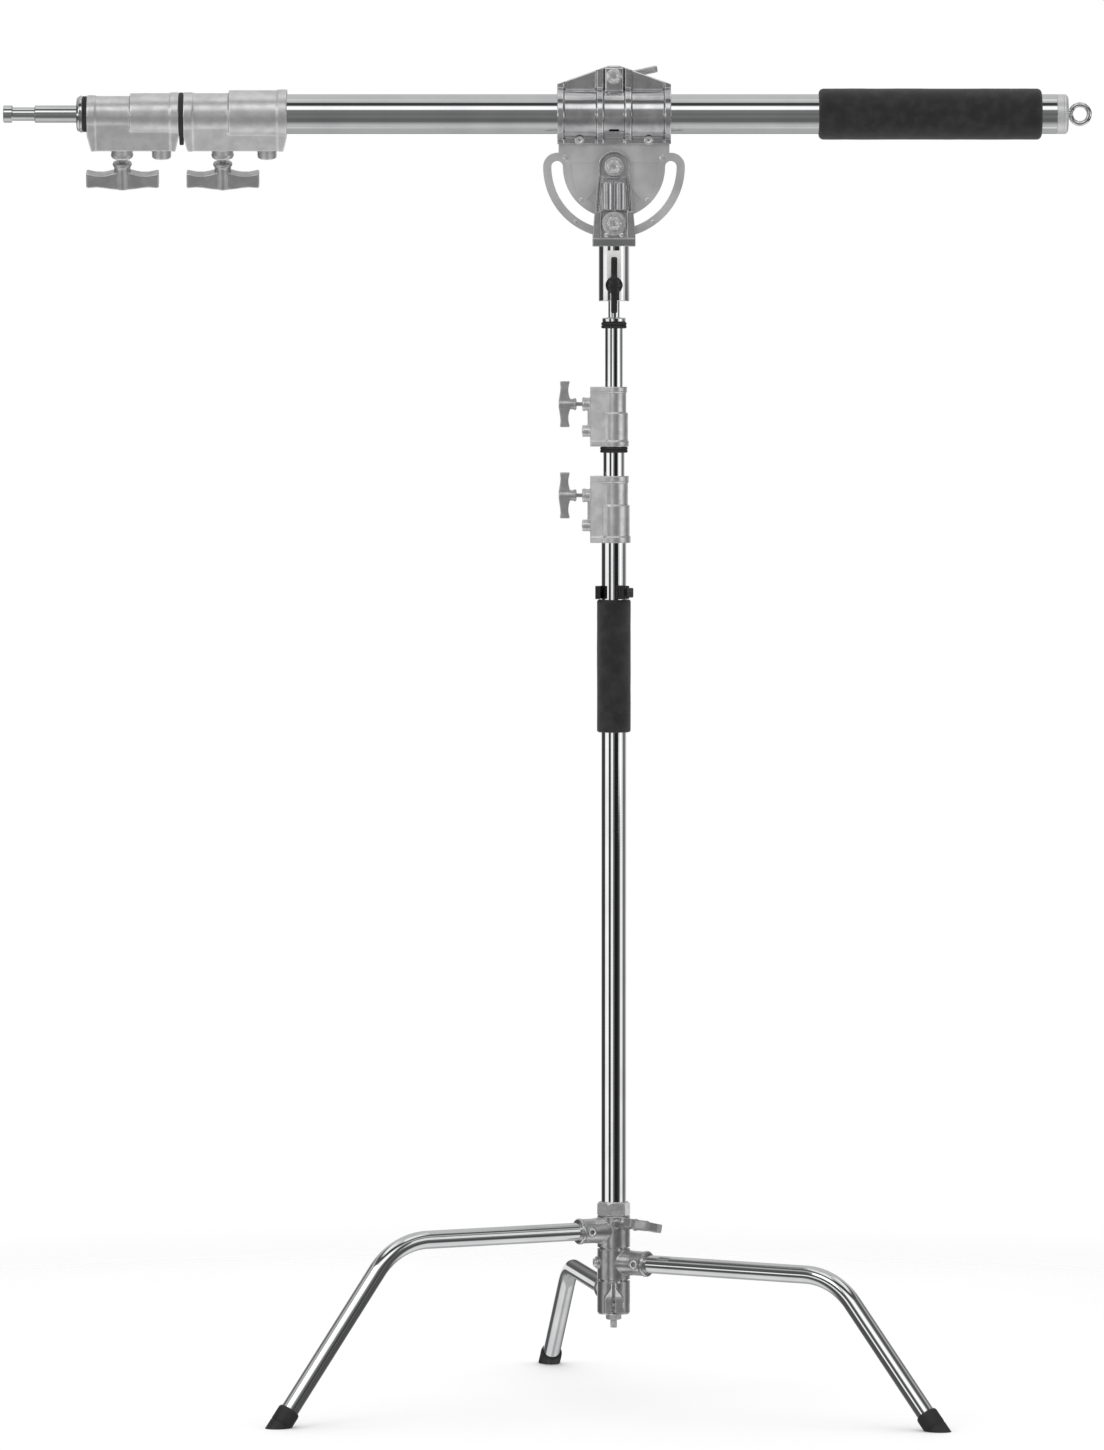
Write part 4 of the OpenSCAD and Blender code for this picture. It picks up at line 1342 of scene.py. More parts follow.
@dataclass
class Legs(Assembly):
    """Three bent tubes with rubber feet."""

    diameter: float = 25
    wall: float = 1.5
    foot_circle_r: float = 520
    bend_r: float = 95
    start_r: float = 27
    tube_to_floor: float = 15
    foot_d: float = 31
    foot_reach: float = 30
    shapes: tuple = (
        LegShape("top_leg", -152.5, 340, "base"),
        LegShape("middle_leg", -32, 357, "middle_leg"),
        LegShape("bottom_leg", 100, 345, "bottom_leg"),
    )
    pieces: list = field(default_factory=list)

    def build(self) -> None:
        """Models every leg with its foot."""
        for shape in self.shapes:
            height = high_z(shape.name + "_tube") - self.diameter / 2 - 0.05
            slope = math.degrees(math.atan2(height, self.foot_circle_r - shape.knee_r))
            self.leg(shape, height, slope)
            self.foot(shape, slope)

    def leg(self, shape: LegShape, height: float, slope: float) -> None:
        """Bends one tube: a level stretch, the knee and the slanted stretch.

        Args:
            shape: The leg's shape.
            height: Height of its level part.
            slope: Slope of its slanted part, in degrees.
        """
        tangent = self.bend_r * math.tan(math.radians(slope / 2))
        level = shape.knee_r - tangent - self.start_r
        slant = (self.foot_circle_r - shape.knee_r) / math.cos(math.radians(slope)) - tangent - self.tube_to_floor
        Bench.clear()
        bpy.ops.mesh.primitive_circle_add(
            vertices=72, radius=self.diameter / 2 * MM, fill_type="NOTHING", rotation=(0, math.pi / 2, 0)
        )
        piece = Bench.settle_new("bent_" + shape.name)
        Bench.edit(piece)
        bpy.ops.mesh.extrude_region_move(TRANSFORM_OT_translate={"value": (level * MM, 0, 0)})
        bpy.ops.mesh.spin(
            steps=32, angle=math.radians(slope), center=(level * MM, 0, -self.bend_r * MM), axis=(0, -1, 0)
        )
        run = Vector((math.cos(math.radians(slope)), 0, -math.sin(math.radians(slope)))) * slant * MM
        bpy.ops.mesh.extrude_region_move(TRANSFORM_OT_translate={"value": run})
        Bench.outward(piece)
        Bench.apply(piece, "SOLIDIFY", thickness=self.wall * MM, offset=-1)
        start = shift(self.start_r)
        Bench.place(piece, PLACES.stand(height) @ turn(shape.azimuth, "Z") @ start)
        self.settle(piece, LEG_TUBE, shape.name + "_tube")

    def foot(self, shape: LegShape, slope: float) -> None:
        """Moulds one rubber foot and cuts its sole flat on the floor.

        Args:
            shape: The leg's shape.
            slope: Slope of its slanted part, in degrees.
        """
        r, top = self.foot_d / 2, self.foot_reach
        bore = self.diameter / 2
        piece = Bench.turned("foot_" + shape.name, [
            (bore, self.tube_to_floor), (r * 0.4, self.tube_to_floor), (r * 0.4, -r), (r, -r), (r, 5), (r - 0.5, 6),
            (r - 0.5, 7), (r, 8), (r, top - 4.5), (r - 0.5, top - 2), (r - 1.4, top - 0.6), (bore + 0.6, top),
            (bore, top - 0.5),
        ], 64, hollow=True)
        plug = Bench.turned("foot_plug", [(r * 0.42, -r), (r * 0.42, self.tube_to_floor - 1)], 64)
        Bench.carve(piece, plug, "UNION")
        place = PLACES.stand() @ turn(shape.azimuth, "Z") @ shift(self.foot_circle_r) @ turn(slope - 90, "Y")
        Bench.place(piece, place)
        Bench.edit(piece)
        bpy.ops.mesh.bisect(plane_co=(0, 0, 0), plane_no=(0, 0, 1), use_fill=True, clear_inner=True)
        Bench.outward(piece)
        Bench.rounded(piece, 0.9, 3, 50)
        self.settle(piece, RUBBER, shape.name + "_foot", angle=40)


@dataclass
class Hub(Assembly):
    """The three stacked leg castings on their post, with nut, screws and the base handle."""

    casting_h: float = 45
    barrel_d: float = 46
    post_d: float = 34
    pin_d: float = 28
    socket_r: float = 57
    socket_d: float = 34
    screw_head_d: float = 12
    screw_d: float = 6
    boss_r: float = 33
    stud_d: float = 10
    stud_drop: float = 22
    base_screw_azimuth: float = -45
    pieces: list = field(default_factory=list)

    def __post_init__(self) -> None:
        """Reads the hub's heights from the frame."""
        self.top = high_z("top_leg_casting")
        self.bottom = self.top - 3 * self.casting_h
        self.leg_z = {name: high_z(name + "_leg_tube") - 12.55 for name in ("top", "middle", "bottom")}

    def build(self) -> None:
        """Models the hub from the top down."""
        azimuths = {"top": -152.5, "middle": -32, "bottom": 100}
        for level, (name, azimuth) in enumerate(azimuths.items()):
            self.casting(name, azimuth, self.top - (level + 1) * self.casting_h)
        self.post()
        self.nut()
        self.screws(azimuths)
        handle = Handle(HandleKind.STAND, self.screw_d, self.boss_r - self.pin_d / 2 - 0.5).build("base_t_handle")
        place = PLACES.outward(self.base_screw_azimuth, self.top - 10) @ shift(z=self.boss_r) @ turn(78, "Z")
        Bench.place(handle, place)
        self.settle(handle, HANDLE_CASTING, "base_handle", angle=None)

    def casting(self, name: str, azimuth: float, low: float) -> None:
        """Casts one storey: the barrel, the leg socket with its bead and web, and its own extras.

        Args:
            name: The leg it holds.
            azimuth: Direction of its leg.
            low: Height of its underside.
        """
        node = name + "_leg_casting"
        body = Bench.copy_of(node, "cast_" + node)
        r = self.socket_d / 2
        bead = Bench.turned("bead", [
            (self.socket_d / 2 - 3, self.socket_r - 7), (r + 0.3, self.socket_r - 6.5), (r + 1.1, self.socket_r - 5),
            (r + 1.1, self.socket_r - 2), (r + 0.3, self.socket_r - 0.6), (12.6, self.socket_r - 0.2),
            (12.6, self.socket_r - 6),
        ], 64, hollow=True)
        Bench.place(bead, PLACES.outward(azimuth, self.leg_z[name]))
        parts = [body, bead]
        if name == "bottom":
            parts += self.lips(low)
        piece = Bench.joined("cast_" + node, *parts)
        Bench.cast(piece, 0.62, 4)
        for notch in self.notches(name, low):
            Bench.carve(piece, notch)
        self.settle(piece, HUB_CASTING, node, angle=45)

    def lips(self, low: float) -> list:
        """The flared lips beside the front split of the bottom casting.

        Args:
            low: Height of the casting's underside.

        Returns:
            The two lips.
        """
        lips = []
        for side in (-1, 1):
            outline = [
                (1.5, 1), (12.2, 1), (12.8, 3), (12.8, 22), (11.5, 26), (7, 31), (4.4, 35), (4.2, 43), (1.5, 43),
            ]
            lip = Bench.prism("lip", [(side * x, z) for x, z in outline], 14, self.barrel_d / 2 + 8.3)
            slope = Bench.block("shoulder", (-20, 0, 0), (20, 40, 30))
            Bench.carve(lip, Bench.place(slope, shift(0, 19.5, self.barrel_d / 2 + 8.3) @ turn(-20, "X")))
            Bench.outward(Bench.rounded(lip, 1.6, 3, 35))
            lips.append(Bench.place(lip, PLACES.front(low)))
        return lips

    def notches(self, name: str, low: float) -> list:
        """V-shaped detent notches in the edges where two castings meet.

        Args:
            name: The leg it holds.
            low: Height of the casting's underside.

        Returns:
            The cutting tools.
        """
        edges = {"top": [(low, 1)], "middle": [(low + self.casting_h, -1), (low, 1)],
                 "bottom": [(low + self.casting_h, -1)]}
        r, made = self.barrel_d / 2, []
        for height, side in edges[name]:
            made.append(Bench.place(Bench.turned("joint_groove", [
                (r - 2.6, 1.0 * side), (r + 2, 2.1 * side), (r + 2, -2 * side), (r - 2.6, -2 * side),
            ], 96, hollow=True), PLACES.stand(height)))
            for azimuth in (-138, -70, 70, 138):
                outline = [(-6, -0.5 * side), (6, -0.5 * side), (3, 2.4 * side), (0, 4.2 * side), (-3, 2.4 * side)]
                notch = Bench.prism("notch", outline, 15, r + 3)
                place = PLACES.stand(height) @ turn(azimuth + 90, "Z") @ turn(90, "X")
                made.append(Bench.place(notch, place))
        return made

    def post(self) -> None:
        """Turns the post: its bored upper part and the threaded stud below."""
        bore = self.pin_d + 0.1
        piece = tube("turned_post", self.post_d, bore, self.bottom + 55, self.top, 0.4)
        core = Bench.turned("post_core", [
            (self.post_d / 2 - 0.4, self.bottom), (self.post_d / 2, self.bottom + 0.4),
            (self.post_d / 2, self.bottom + 54.9), (self.post_d / 2 - 0.4, self.bottom + 55),
        ], 128)
        stud = thread("post_stud", self.stud_d, self.bottom - self.stud_drop, self.bottom + 1)
        piece = Bench.place(Bench.joined("turned_post", piece, core, stud), PLACES.stand())
        self.settle(piece, BOLTS, "center_post")

    def nut(self) -> None:
        """Washer and hexagon nut under the castings."""
        washer = Bench.turned("hub_washer", [
            (self.stud_d / 2 + 0.2, self.bottom - 2.5), (self.barrel_d / 2 - 1.6, self.bottom - 2.5),
            (self.barrel_d / 2 - 1, self.bottom - 2), (self.barrel_d / 2 - 1, self.bottom - 0.9),
            (self.barrel_d / 2 - 1.6, self.bottom - 0.4), (self.stud_d / 2 + 0.2, self.bottom - 0.4),
        ], 64, hollow=True)
        nut = Bench.hexagon("hub_hexagon", 19, 0, 8)
        Bench.carve(nut, Bench.turned("bore", [(self.stud_d / 2, -1), (self.stud_d / 2, 10)], 48))
        Bench.place(nut, shift(z=self.bottom - 2.5) @ turn(180, "X"))
        piece = Bench.place(Bench.joined("hub_washer_and_nut", washer, nut), PLACES.stand())
        self.settle(piece, BOLTS, "hub_nut")

    def screws(self, azimuths: dict) -> None:
        """Socket-head screws in the leg sockets, the lug and the split.

        Args:
            azimuths: Direction of each leg by name.
        """
        made = {}
        for name, azimuth in azimuths.items():
            side = 1 if azimuth < -90 else -1
            place = (PLACES.stand(self.leg_z[name]) @ turn(azimuth, "Z") @ shift(42)
                     @ turn(-90 * side, "X") @ shift(z=self.socket_d / 2 - 2.5))
            screw = socket_screw(f"{name}_socket_screw", self.screw_d, 1.9, self.screw_head_d, 3)
            made[name] = [Bench.place(screw, place)]
        lug = socket_screw("lug_screw", self.screw_d, 8, self.screw_head_d, 3)
        made["middle"].append(Bench.place(
            lug, PLACES.outward(-164, self.leg_z["middle"]) @ shift(z=self.barrel_d / 2 + 3)))
        split = socket_screw("split_screw", self.screw_d, 21, 10, 4)
        place = PLACES.stand(self.bottom + 13) @ shift(13, -self.barrel_d / 2 - 3) @ turn(90, "Y") @ shift(z=-3)
        made["bottom"].append(Bench.place(split, place))
        nodes = {"top": "top_leg_screw", "middle": "middle_leg_screws", "bottom": "bottom_leg_screws"}
        for name, parts in made.items():
            self.settle(Bench.joined(f"{name}_leg_bolts", *parts), BOLTS, nodes[name])


# ---------------------------------------------------------------- column and risers


@dataclass
class Column(Assembly):
    """The column and its two risers with castings, grip, clip, rings and handles."""

    column_d: float = 35
    riser_1_d: float = 30
    riser_2_d: float = 25
    wall: float = 1.5
    collar_d: float = 47
    collar_h: float = 19
    pin_d: float = 28
    grip_d: float = 47
    block_depth: float = 33
    boss_len: float = 11
    screw_d: float = 6
    screw_share: float = 0.71
    bolt_share: float = 0.26
    spigot_d: float = 16
    spigot_len: float = 66
    flange_d: float = 33
    pieces: list = field(default_factory=list)

    def build(self) -> None:
        """Models the column from its foot up."""
        self.foot()
        self.upright("column_tube", self.column_d)
        self.upright("riser_1_tube", self.riser_1_d)
        self.upright("riser_2_tube", self.riser_2_d)
        self.grip()
        self.clip()
        for name, inner in (("column", self.riser_1_d), ("riser_1", self.riser_2_d)):
            self.collar(name, inner)
            self.keep(name + "_bush", BUSH_NYLON)
        self.rings("riser_1_bumper", self.riser_1_d, self.riser_1_d + 9)
        self.rings("riser_2_bumper", self.riser_2_d, self.riser_2_d + 12)
        self.spigot()

    def upright(self, node: str, diameter: float) -> None:
        """Draws one upright tube."""
        piece = tube("drawn_" + node, diameter, diameter - 2 * self.wall, low_z(node), high_z(node))
        self.settle(Bench.place(piece, PLACES.stand()), TUBE, node)

    def foot(self) -> None:
        """Pin, hexagonal collar and plug at the column's foot."""
        low, top = low_z("column_foot"), high_z("column_foot")
        hub_top = high_z("top_leg_casting")
        pin = Bench.turned("foot_pin", [
            (self.pin_d / 2 - 1.5, low), (self.pin_d / 2, low + 1.5), (self.pin_d / 2, hub_top + 1),
        ], 96)
        corner = self.collar_d / 2
        outline = [
            (corner * math.cos(math.radians(60 * k + 12)), corner * math.sin(math.radians(60 * k + 12)))
            for k in range(6)
        ]
        collar = Bench.prism("foot_collar", outline, hub_top + 0.3, hub_top + self.collar_h)
        form = Bench.turned("collar_form", [
            (corner * 0.9, hub_top + 0.3), (corner + 0.2, hub_top + 2.6),
            (corner + 0.2, hub_top + self.collar_h - 2.6), (corner * 0.88, hub_top + self.collar_h),
            (corner * 0.3, hub_top + self.collar_h),
        ], 96)
        Bench.carve(collar, form, "INTERSECT")
        Bench.rounded(collar, 0.35, 2)
        plug = Bench.turned("foot_plug", [
            (self.column_d / 2 - self.wall, hub_top + 1), (self.column_d / 2 - self.wall, top - 1),
            (self.column_d / 2 - self.wall - 1, top),
        ], 96)
        groove = Bench.ring("foot_groove", self.column_d / 2 + 0.6, 1.6, hub_top + self.collar_h + 0.2)
        piece = Bench.place(Bench.joined("turned_column_foot", collar, pin, plug, groove), PLACES.stand())
        self.settle(piece, BOLTS, "column_foot")

    def grip(self) -> None:
        """The foam sleeve on the column."""
        low, high = low_z("column_grip"), high_z("column_grip")
        piece = foam_sleeve("column_foam", self.grip_d, self.column_d + 0.1, low, high, 3.2)
        self.settle(Bench.place(piece, PLACES.stand()), FOAM, "column_grip", angle=None)

    def clip(self) -> None:
        """The plastic clip above the foam and its thumb screw."""
        piece = Bench.copy_of("cable_clip", "moulded_clip")
        Bench.cast(piece, 0.5, 3)
        self.settle(piece, PLASTIC, "cable_clip", angle=None)
        low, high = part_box("clip_knob")
        middle = [(a + b) / 2 / MM for a, b in zip(low, high)]
        knob = self.thumb_screw((high[0] - low[0]) / MM)
        self.settle(Bench.place(knob, shift(low[0] / MM, middle[1], middle[2]) @ turn(90, "Y")), PLASTIC, "clip_knob")

    def thumb_screw(self, length: float) -> bpy.types.Object:
        """A thumb screw with a fluted head, lying along its axis from z = 0.

        Args:
            length: Whole length.

        Returns:
            The piece.
        """
        head_z = length - 9
        head = Bench.turned("thumb_head", [
            (5.4, head_z), (6.8, head_z + 0.9), (6.8, length - 1.2), (6.2, length - 0.3), (5.0, length),
            (4.2, length - 0.7), (1.5, length - 0.7),
        ], 72)
        for k in range(12):
            flute = Bench.turned("flute", [(0.8, head_z - 1), (0.8, length + 1)], 16)
            Bench.carve(head, Bench.place(flute, turn(30 * k, "Z") @ shift(7.2)))
        screw = thread("thumb_thread", 5, 0, head_z + 1, 1.3)
        return Bench.joined("thumb_screw", head, screw)

    def collar(self, name: str, inner_d: float) -> None:
        """A cast collar: skin from the frame's solid, boss rings, its stop bolt and its handle.

        Args:
            name: The tube that carries it.
            inner_d: Diameter of the tube that runs inside.
        """
        node = name + "_casting"
        low, high = low_z(node), high_z(node)
        height = high - low
        body = Bench.copy_of(node, "cast_" + node)
        parts = [body, *boss_rings(height, self.block_depth, self.boss_len, 9.6, self.screw_share, 1.0)]
        for part in parts[1:]:
            Bench.place(part, PLACES.stand(low))
        piece = Bench.cast(Bench.joined("cast_" + node, *parts), 0.7, 3)
        self.settle(piece, CASTING, node, angle=None)
        bolt = socket_screw(f"{name}_stop_bolt", 5, 3, 7.6, 3.4)
        place = PLACES.stand(low + self.bolt_share * height) @ shift(-self.block_depth - self.boss_len + 2.8)
        self.settle(Bench.place(bolt, place @ turn(-90, "Y")), BOLTS, body=self.body_of(node))
        reach = self.block_depth + self.boss_len - (inner_d / 2 + 0.05 + 1.5) - 0.3
        handle = Handle(HandleKind.STAND, self.screw_d, reach).build(name + "_t_handle")
        place = PLACES.stand(low + self.screw_share * height) @ shift(-self.block_depth - self.boss_len)
        Bench.place(handle, place @ turn(-90, "Y"))
        self.settle(handle, HANDLE_CASTING, name + "_handle", angle=None)

    @staticmethod
    def body_of(node: str) -> str:
        """The body a node rides on."""
        return frame["nodes"][node]["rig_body"]

    def rings(self, node: str, bore: float, outer: float) -> None:
        """A pair of rubber rings round a tube.

        Args:
            node: The frame node.
            bore: Diameter of the tube.
            outer: Outer diameter of the rings.
        """
        low, high = low_z(node), high_z(node)
        wire = (outer - bore) / 2
        middle = (low + high) / 2
        parts = [
            Bench.ring("rubber_ring", bore / 2 + wire / 2 - 0.05, min(wire, (high - low) * 0.52), middle + step)
            for step in (-(high - low) * 0.235, (high - low) * 0.235)
        ]
        web = tube("ring_web", bore + wire, bore + 0.2, middle - 2, middle + 2, 0.2)
        piece = Bench.place(Bench.joined("moulded_" + node, *parts, web), PLACES.stand())
        self.settle(piece, RUBBER, node, angle=50)

    def spigot(self) -> None:
        """The spigot with its flange on the second riser."""
        flange = high_z("riser_2_tube")
        r = self.flange_d / 2
        profile = [
            (self.riser_2_d / 2 - self.wall, flange - 30), (self.riser_2_d / 2 - self.wall, flange - 0.1),
            (r - 0.8, flange), (r, flange + 0.8), (r, flange + 4.6), (r - 1.4, flange + 6),
            (self.spigot_d / 2 + 1, flange + 6),
        ] + baby_pin("spigot", self.spigot_d, self.spigot_len, flange + 6.4)
        top = flange + 6 + self.spigot_len
        profile = [(radius, min(z, top)) for radius, z in profile]
        piece = Bench.place(Bench.turned("turned_spigot", profile, 96), PLACES.stand())
        self.settle(piece, SPIGOT_STEEL, "spigot", angle=30)


def foam_sleeve(name: str, outer: float, bore: float, low: float, high: float, end: float) -> bpy.types.Object:
    """A foam sleeve on the Z axis with rounded ends and a faintly uneven skin.

    Args:
        name: The piece's name.
        outer: Outer diameter.
        bore: Diameter of the bore.
        low: Height of its lower end.
        high: Height of its upper end.
        end: Rounding of the ends.

    Returns:
        The piece.
    """
    r, inner = outer / 2, bore / 2
    rings = 60
    skin = [
        (r - end + end * math.sin(math.radians(a)), low + end - end * math.cos(math.radians(a)))
        for a in range(0, 91, 15)
    ]
    middle = [(r, low + end + (high - low - 2 * end) * k / rings) for k in range(1, rings)]
    top = [(radius, low + high - z) for radius, z in reversed(skin)]
    piece = Bench.turned(name, [(inner, low + 0.6), (inner + 0.6, low), *skin, *middle, *top,
                                (inner + 0.6, high), (inner, high - 0.6)], 96, hollow=True)
    texture = bpy.data.textures.new(name, "CLOUDS")
    texture.noise_scale = 0.03
    Bench.apply(piece, "DISPLACE", texture=texture, strength=0.5 * MM, mid_level=0.55)
    Bench.pick(piece)
    bpy.ops.object.shade_smooth()
    return piece


def boss_rings(height: float, depth: float, boss_len: float, radius: float, screw_share: float,
               scale: float) -> list:
    """Turned collars on a casting's screw boss, in the casting's own frame.

    Args:
        height: Height in millimetres.
        depth: Depth of the block behind the boss.
        boss_len: Length of the boss.
        radius: Radius of the ring.
        screw_share: Where the screw sits, as a share of the height.
        scale: Size against the stand's own.

    Returns:
        The rings, not yet placed.
    """
    reach = depth + boss_len
    ring = Bench.turned("boss_ring", [
        (radius * 0.5, reach - 4 * scale), (radius, reach - 3.6 * scale), (radius + 0.3, reach - 2 * scale),
        (radius * 0.9, reach - 0.3 * scale), (radius * 0.5, reach),
    ], 48, hollow=True)
    return [Bench.place(ring, shift(z=screw_share * height) @ turn(-90, "Y"))]


# ---------------------------------------------------------------- tilting head


@dataclass
class Head(Assembly):
    """The socket, its knob and the two pressed brackets with their bolts."""

    socket_d: float = 43
    plate_r: float = 98.5
    slot_r: float = 79
    bracket_face: float = 6.9
    pin_d: float = 12
    bolt_flats: float = 18
    bolt_h: float = 8
    knob_z: float = -164.5
    screw_d: float = 9
    bar_len: float = 78
    bar_t: float = 8.5
    bar_depth: float = 20
    channel_foot: float = -99.5
    pieces: list = field(default_factory=list)

    def build(self) -> None:
        """Models the head from its socket up."""
        self.socket()
        self.keep("label_plate", LABEL)
        self.keep("socket_insert", BRASS)
        self.knob()
        for side, node in ((PLACES.front, "front_bracket"), (PLACES.rear, "rear_bracket")):
            self.bracket(side(PLACES.pivot_z), node)
        self.bolts()

    def socket(self) -> None:
        """The plated socket under its foot plate."""
        low = low_z("head_socket")
        r = self.socket_d / 2
        sleeve = Bench.turned("socket_sleeve", [
            (8.05, low + 0.6), (9, low), (r - 1, low), (r, low + 1), (r, low + 76), (r - 2, low + 77),
            (8.05, low + 77),
        ], 128, hollow=True)
        foot = Bench.block("socket_foot", (-30, -r, low + 76), (30, r, low + 87), 1.2)
        core = Bench.turned("socket_core", [(8.3, low + 43), (8.3, low + 77)], 96)
        piece = Bench.joined("plated_socket", sleeve, foot, core)
        hole = Bench.turned("insert_hole", [(8.02, 0), (8.02, 40)], 64)
        Bench.place(piece, PLACES.stand())
        Bench.carve(piece, Bench.place(hole, PLACES.front(PLACES.pivot_z + self.knob_z)))
        self.settle(piece, SOCKET_STEEL, "head_socket")

    def knob(self) -> None:
        """The moulded wing knob on its screw."""
        face = self.socket_d / 2 + 1.5
        half, deep = self.bar_len / 2, self.bar_depth
        wing = [
            (0, 4), (7, 4), (11, 7), (half - 4, 6.2), (half - 1, 7.2), (half, 10), (half, deep + 2),
            (half - 1.2, deep + 4.6), (half - 4, deep + 6), (14, deep + 6), (9, deep + 8), (0, deep + 8.6),
        ]
        outline = wing + [(-x, z) for x, z in reversed(wing[1:-1])]
        bar = Bench.prism("knob_bar", outline, -self.bar_t / 2, self.bar_t / 2)
        Bench.rounded(bar, 2.2, 4, 35)
        Bench.place(bar, shift(z=face - 2) @ turn(90, "Z") @ turn(90, "X"))
        hub = Bench.turned("knob_hub", [
            (10.6, face), (11.8, face + 0.8), (12, face + 6), (11.2, face + 9), (8.2, face + 14),
            (6.5, face + deep + 2), (5.2, face + deep + 5.4), (2, face + deep + 6),
        ], 64)
        grip = Bench.cast(Bench.joined("wing_knob", hub, bar), 0.55, 5)
        Bench.place(grip, PLACES.front(PLACES.pivot_z + self.knob_z))
        screw = thread("knob_thread", self.screw_d, self.pin_d / 2 + 2.4, face + 1)
        Bench.place(screw, PLACES.front(PLACES.pivot_z + self.knob_z))
        self.settle(Bench.joined("wing_knob", grip, screw), PLASTIC, "socket_knob", angle=None)

    def bracket(self, place: Matrix, node: str) -> None:
        """One pressed bracket: its skin from the frame's solid, a rolled rim, an arch groove and rivets.

        Args:
            place: Its place in the frame.
            node: The frame node.
        """
        body = Bench.copy_of(node, "pressed_" + node)
        rim = self.rim()
        Bench.place(rim, place)
        piece = Bench.joined("pressed_" + node, body, rim)
        Bench.cast(piece, 0.55, 3)
        groove = Bench.ring("arch", 17.5, 2.4, self.bracket_face + 3.2, 64)
        Bench.carve(piece, Bench.place(groove, place))
        self.settle(piece, BRACKET_STEEL, node, angle=50)
        for side in (-1, 1):
            dot = rivet(f"{node}_rivet_{'left' if side < 0 else 'right'}", 6.4, 1.6)
            Bench.place(dot, place @ shift(side * 10.5, -95, self.bracket_face))
            self.settle(dot, BOLTS, body="head")

    def rim(self) -> bpy.types.Object:
        """The raised rolled edge that runs over the bracket's round head and down its sides.

        Returns:
            The rim, not yet placed.
        """
        outer, inner = self.outline(22, 29.6), self.outline(19.4, 26.6)
        rim = Bench.prism("rim_outer", outer, self.bracket_face - 1, self.bracket_face + 2.4)
        core = Bench.prism("rim_core", inner, self.bracket_face - 3, self.bracket_face + 5)
        Bench.carve(rim, core)
        return rim

    def outline(self, top_r: float, foot_w: float) -> list:
        """Round at the pivot, widening down to the channel.

        Args:
            top_r: Radius of the round head.
            foot_w: Half width at the foot.

        Returns:
            (x, z) corners in order.
        """
        arc = [
            (top_r * math.cos(math.radians(a)), top_r * math.sin(math.radians(a))) for a in range(0, 181, 9)
        ]
        return [(foot_w, self.channel_foot), *arc, (-foot_w, self.channel_foot)]

    def bolts(self) -> None:
        """The pivot bolt, the lock bolt and the rear handle on it."""
        stack = 2 * self.bracket_face
        pivot = hex_bolt("pivot", self.pin_d, stack + 10, self.bolt_flats, self.bolt_h, 26, 2)
        nut = Bench.hexagon("pivot_nut", self.bolt_flats, self.bracket_face, self.bracket_face + self.bolt_h)
        Bench.place(pivot, PLACES.front(PLACES.pivot_z) @ shift(z=self.bracket_face))
        Bench.place(nut, PLACES.rear(PLACES.pivot_z))
        self.settle(Bench.joined("pivot_hex_bolt", pivot, nut), BOLTS, "pivot_bolt")
        lock_z = PLACES.pivot_z - self.slot_r
        lock = hex_bolt("lock_hex_bolt", self.pin_d, stack + 30, self.bolt_flats, self.bolt_h, 33, 2)
        Bench.place(lock, PLACES.front(lock_z) @ shift(z=self.bracket_face))
        self.settle(lock, BOLTS, "lock_bolt")
        handle = Handle(HandleKind.ARM, self.pin_d, 0, bored=True).build("tilt_t_handle")
        place = PLACES.rear(lock_z) @ shift(z=self.bracket_face + 1) @ turn(90, "Z")
        self.settle(Bench.place(handle, place), HANDLE_CASTING, "tilt_handle", angle=None)


# ---------------------------------------------------------------- arm clamp


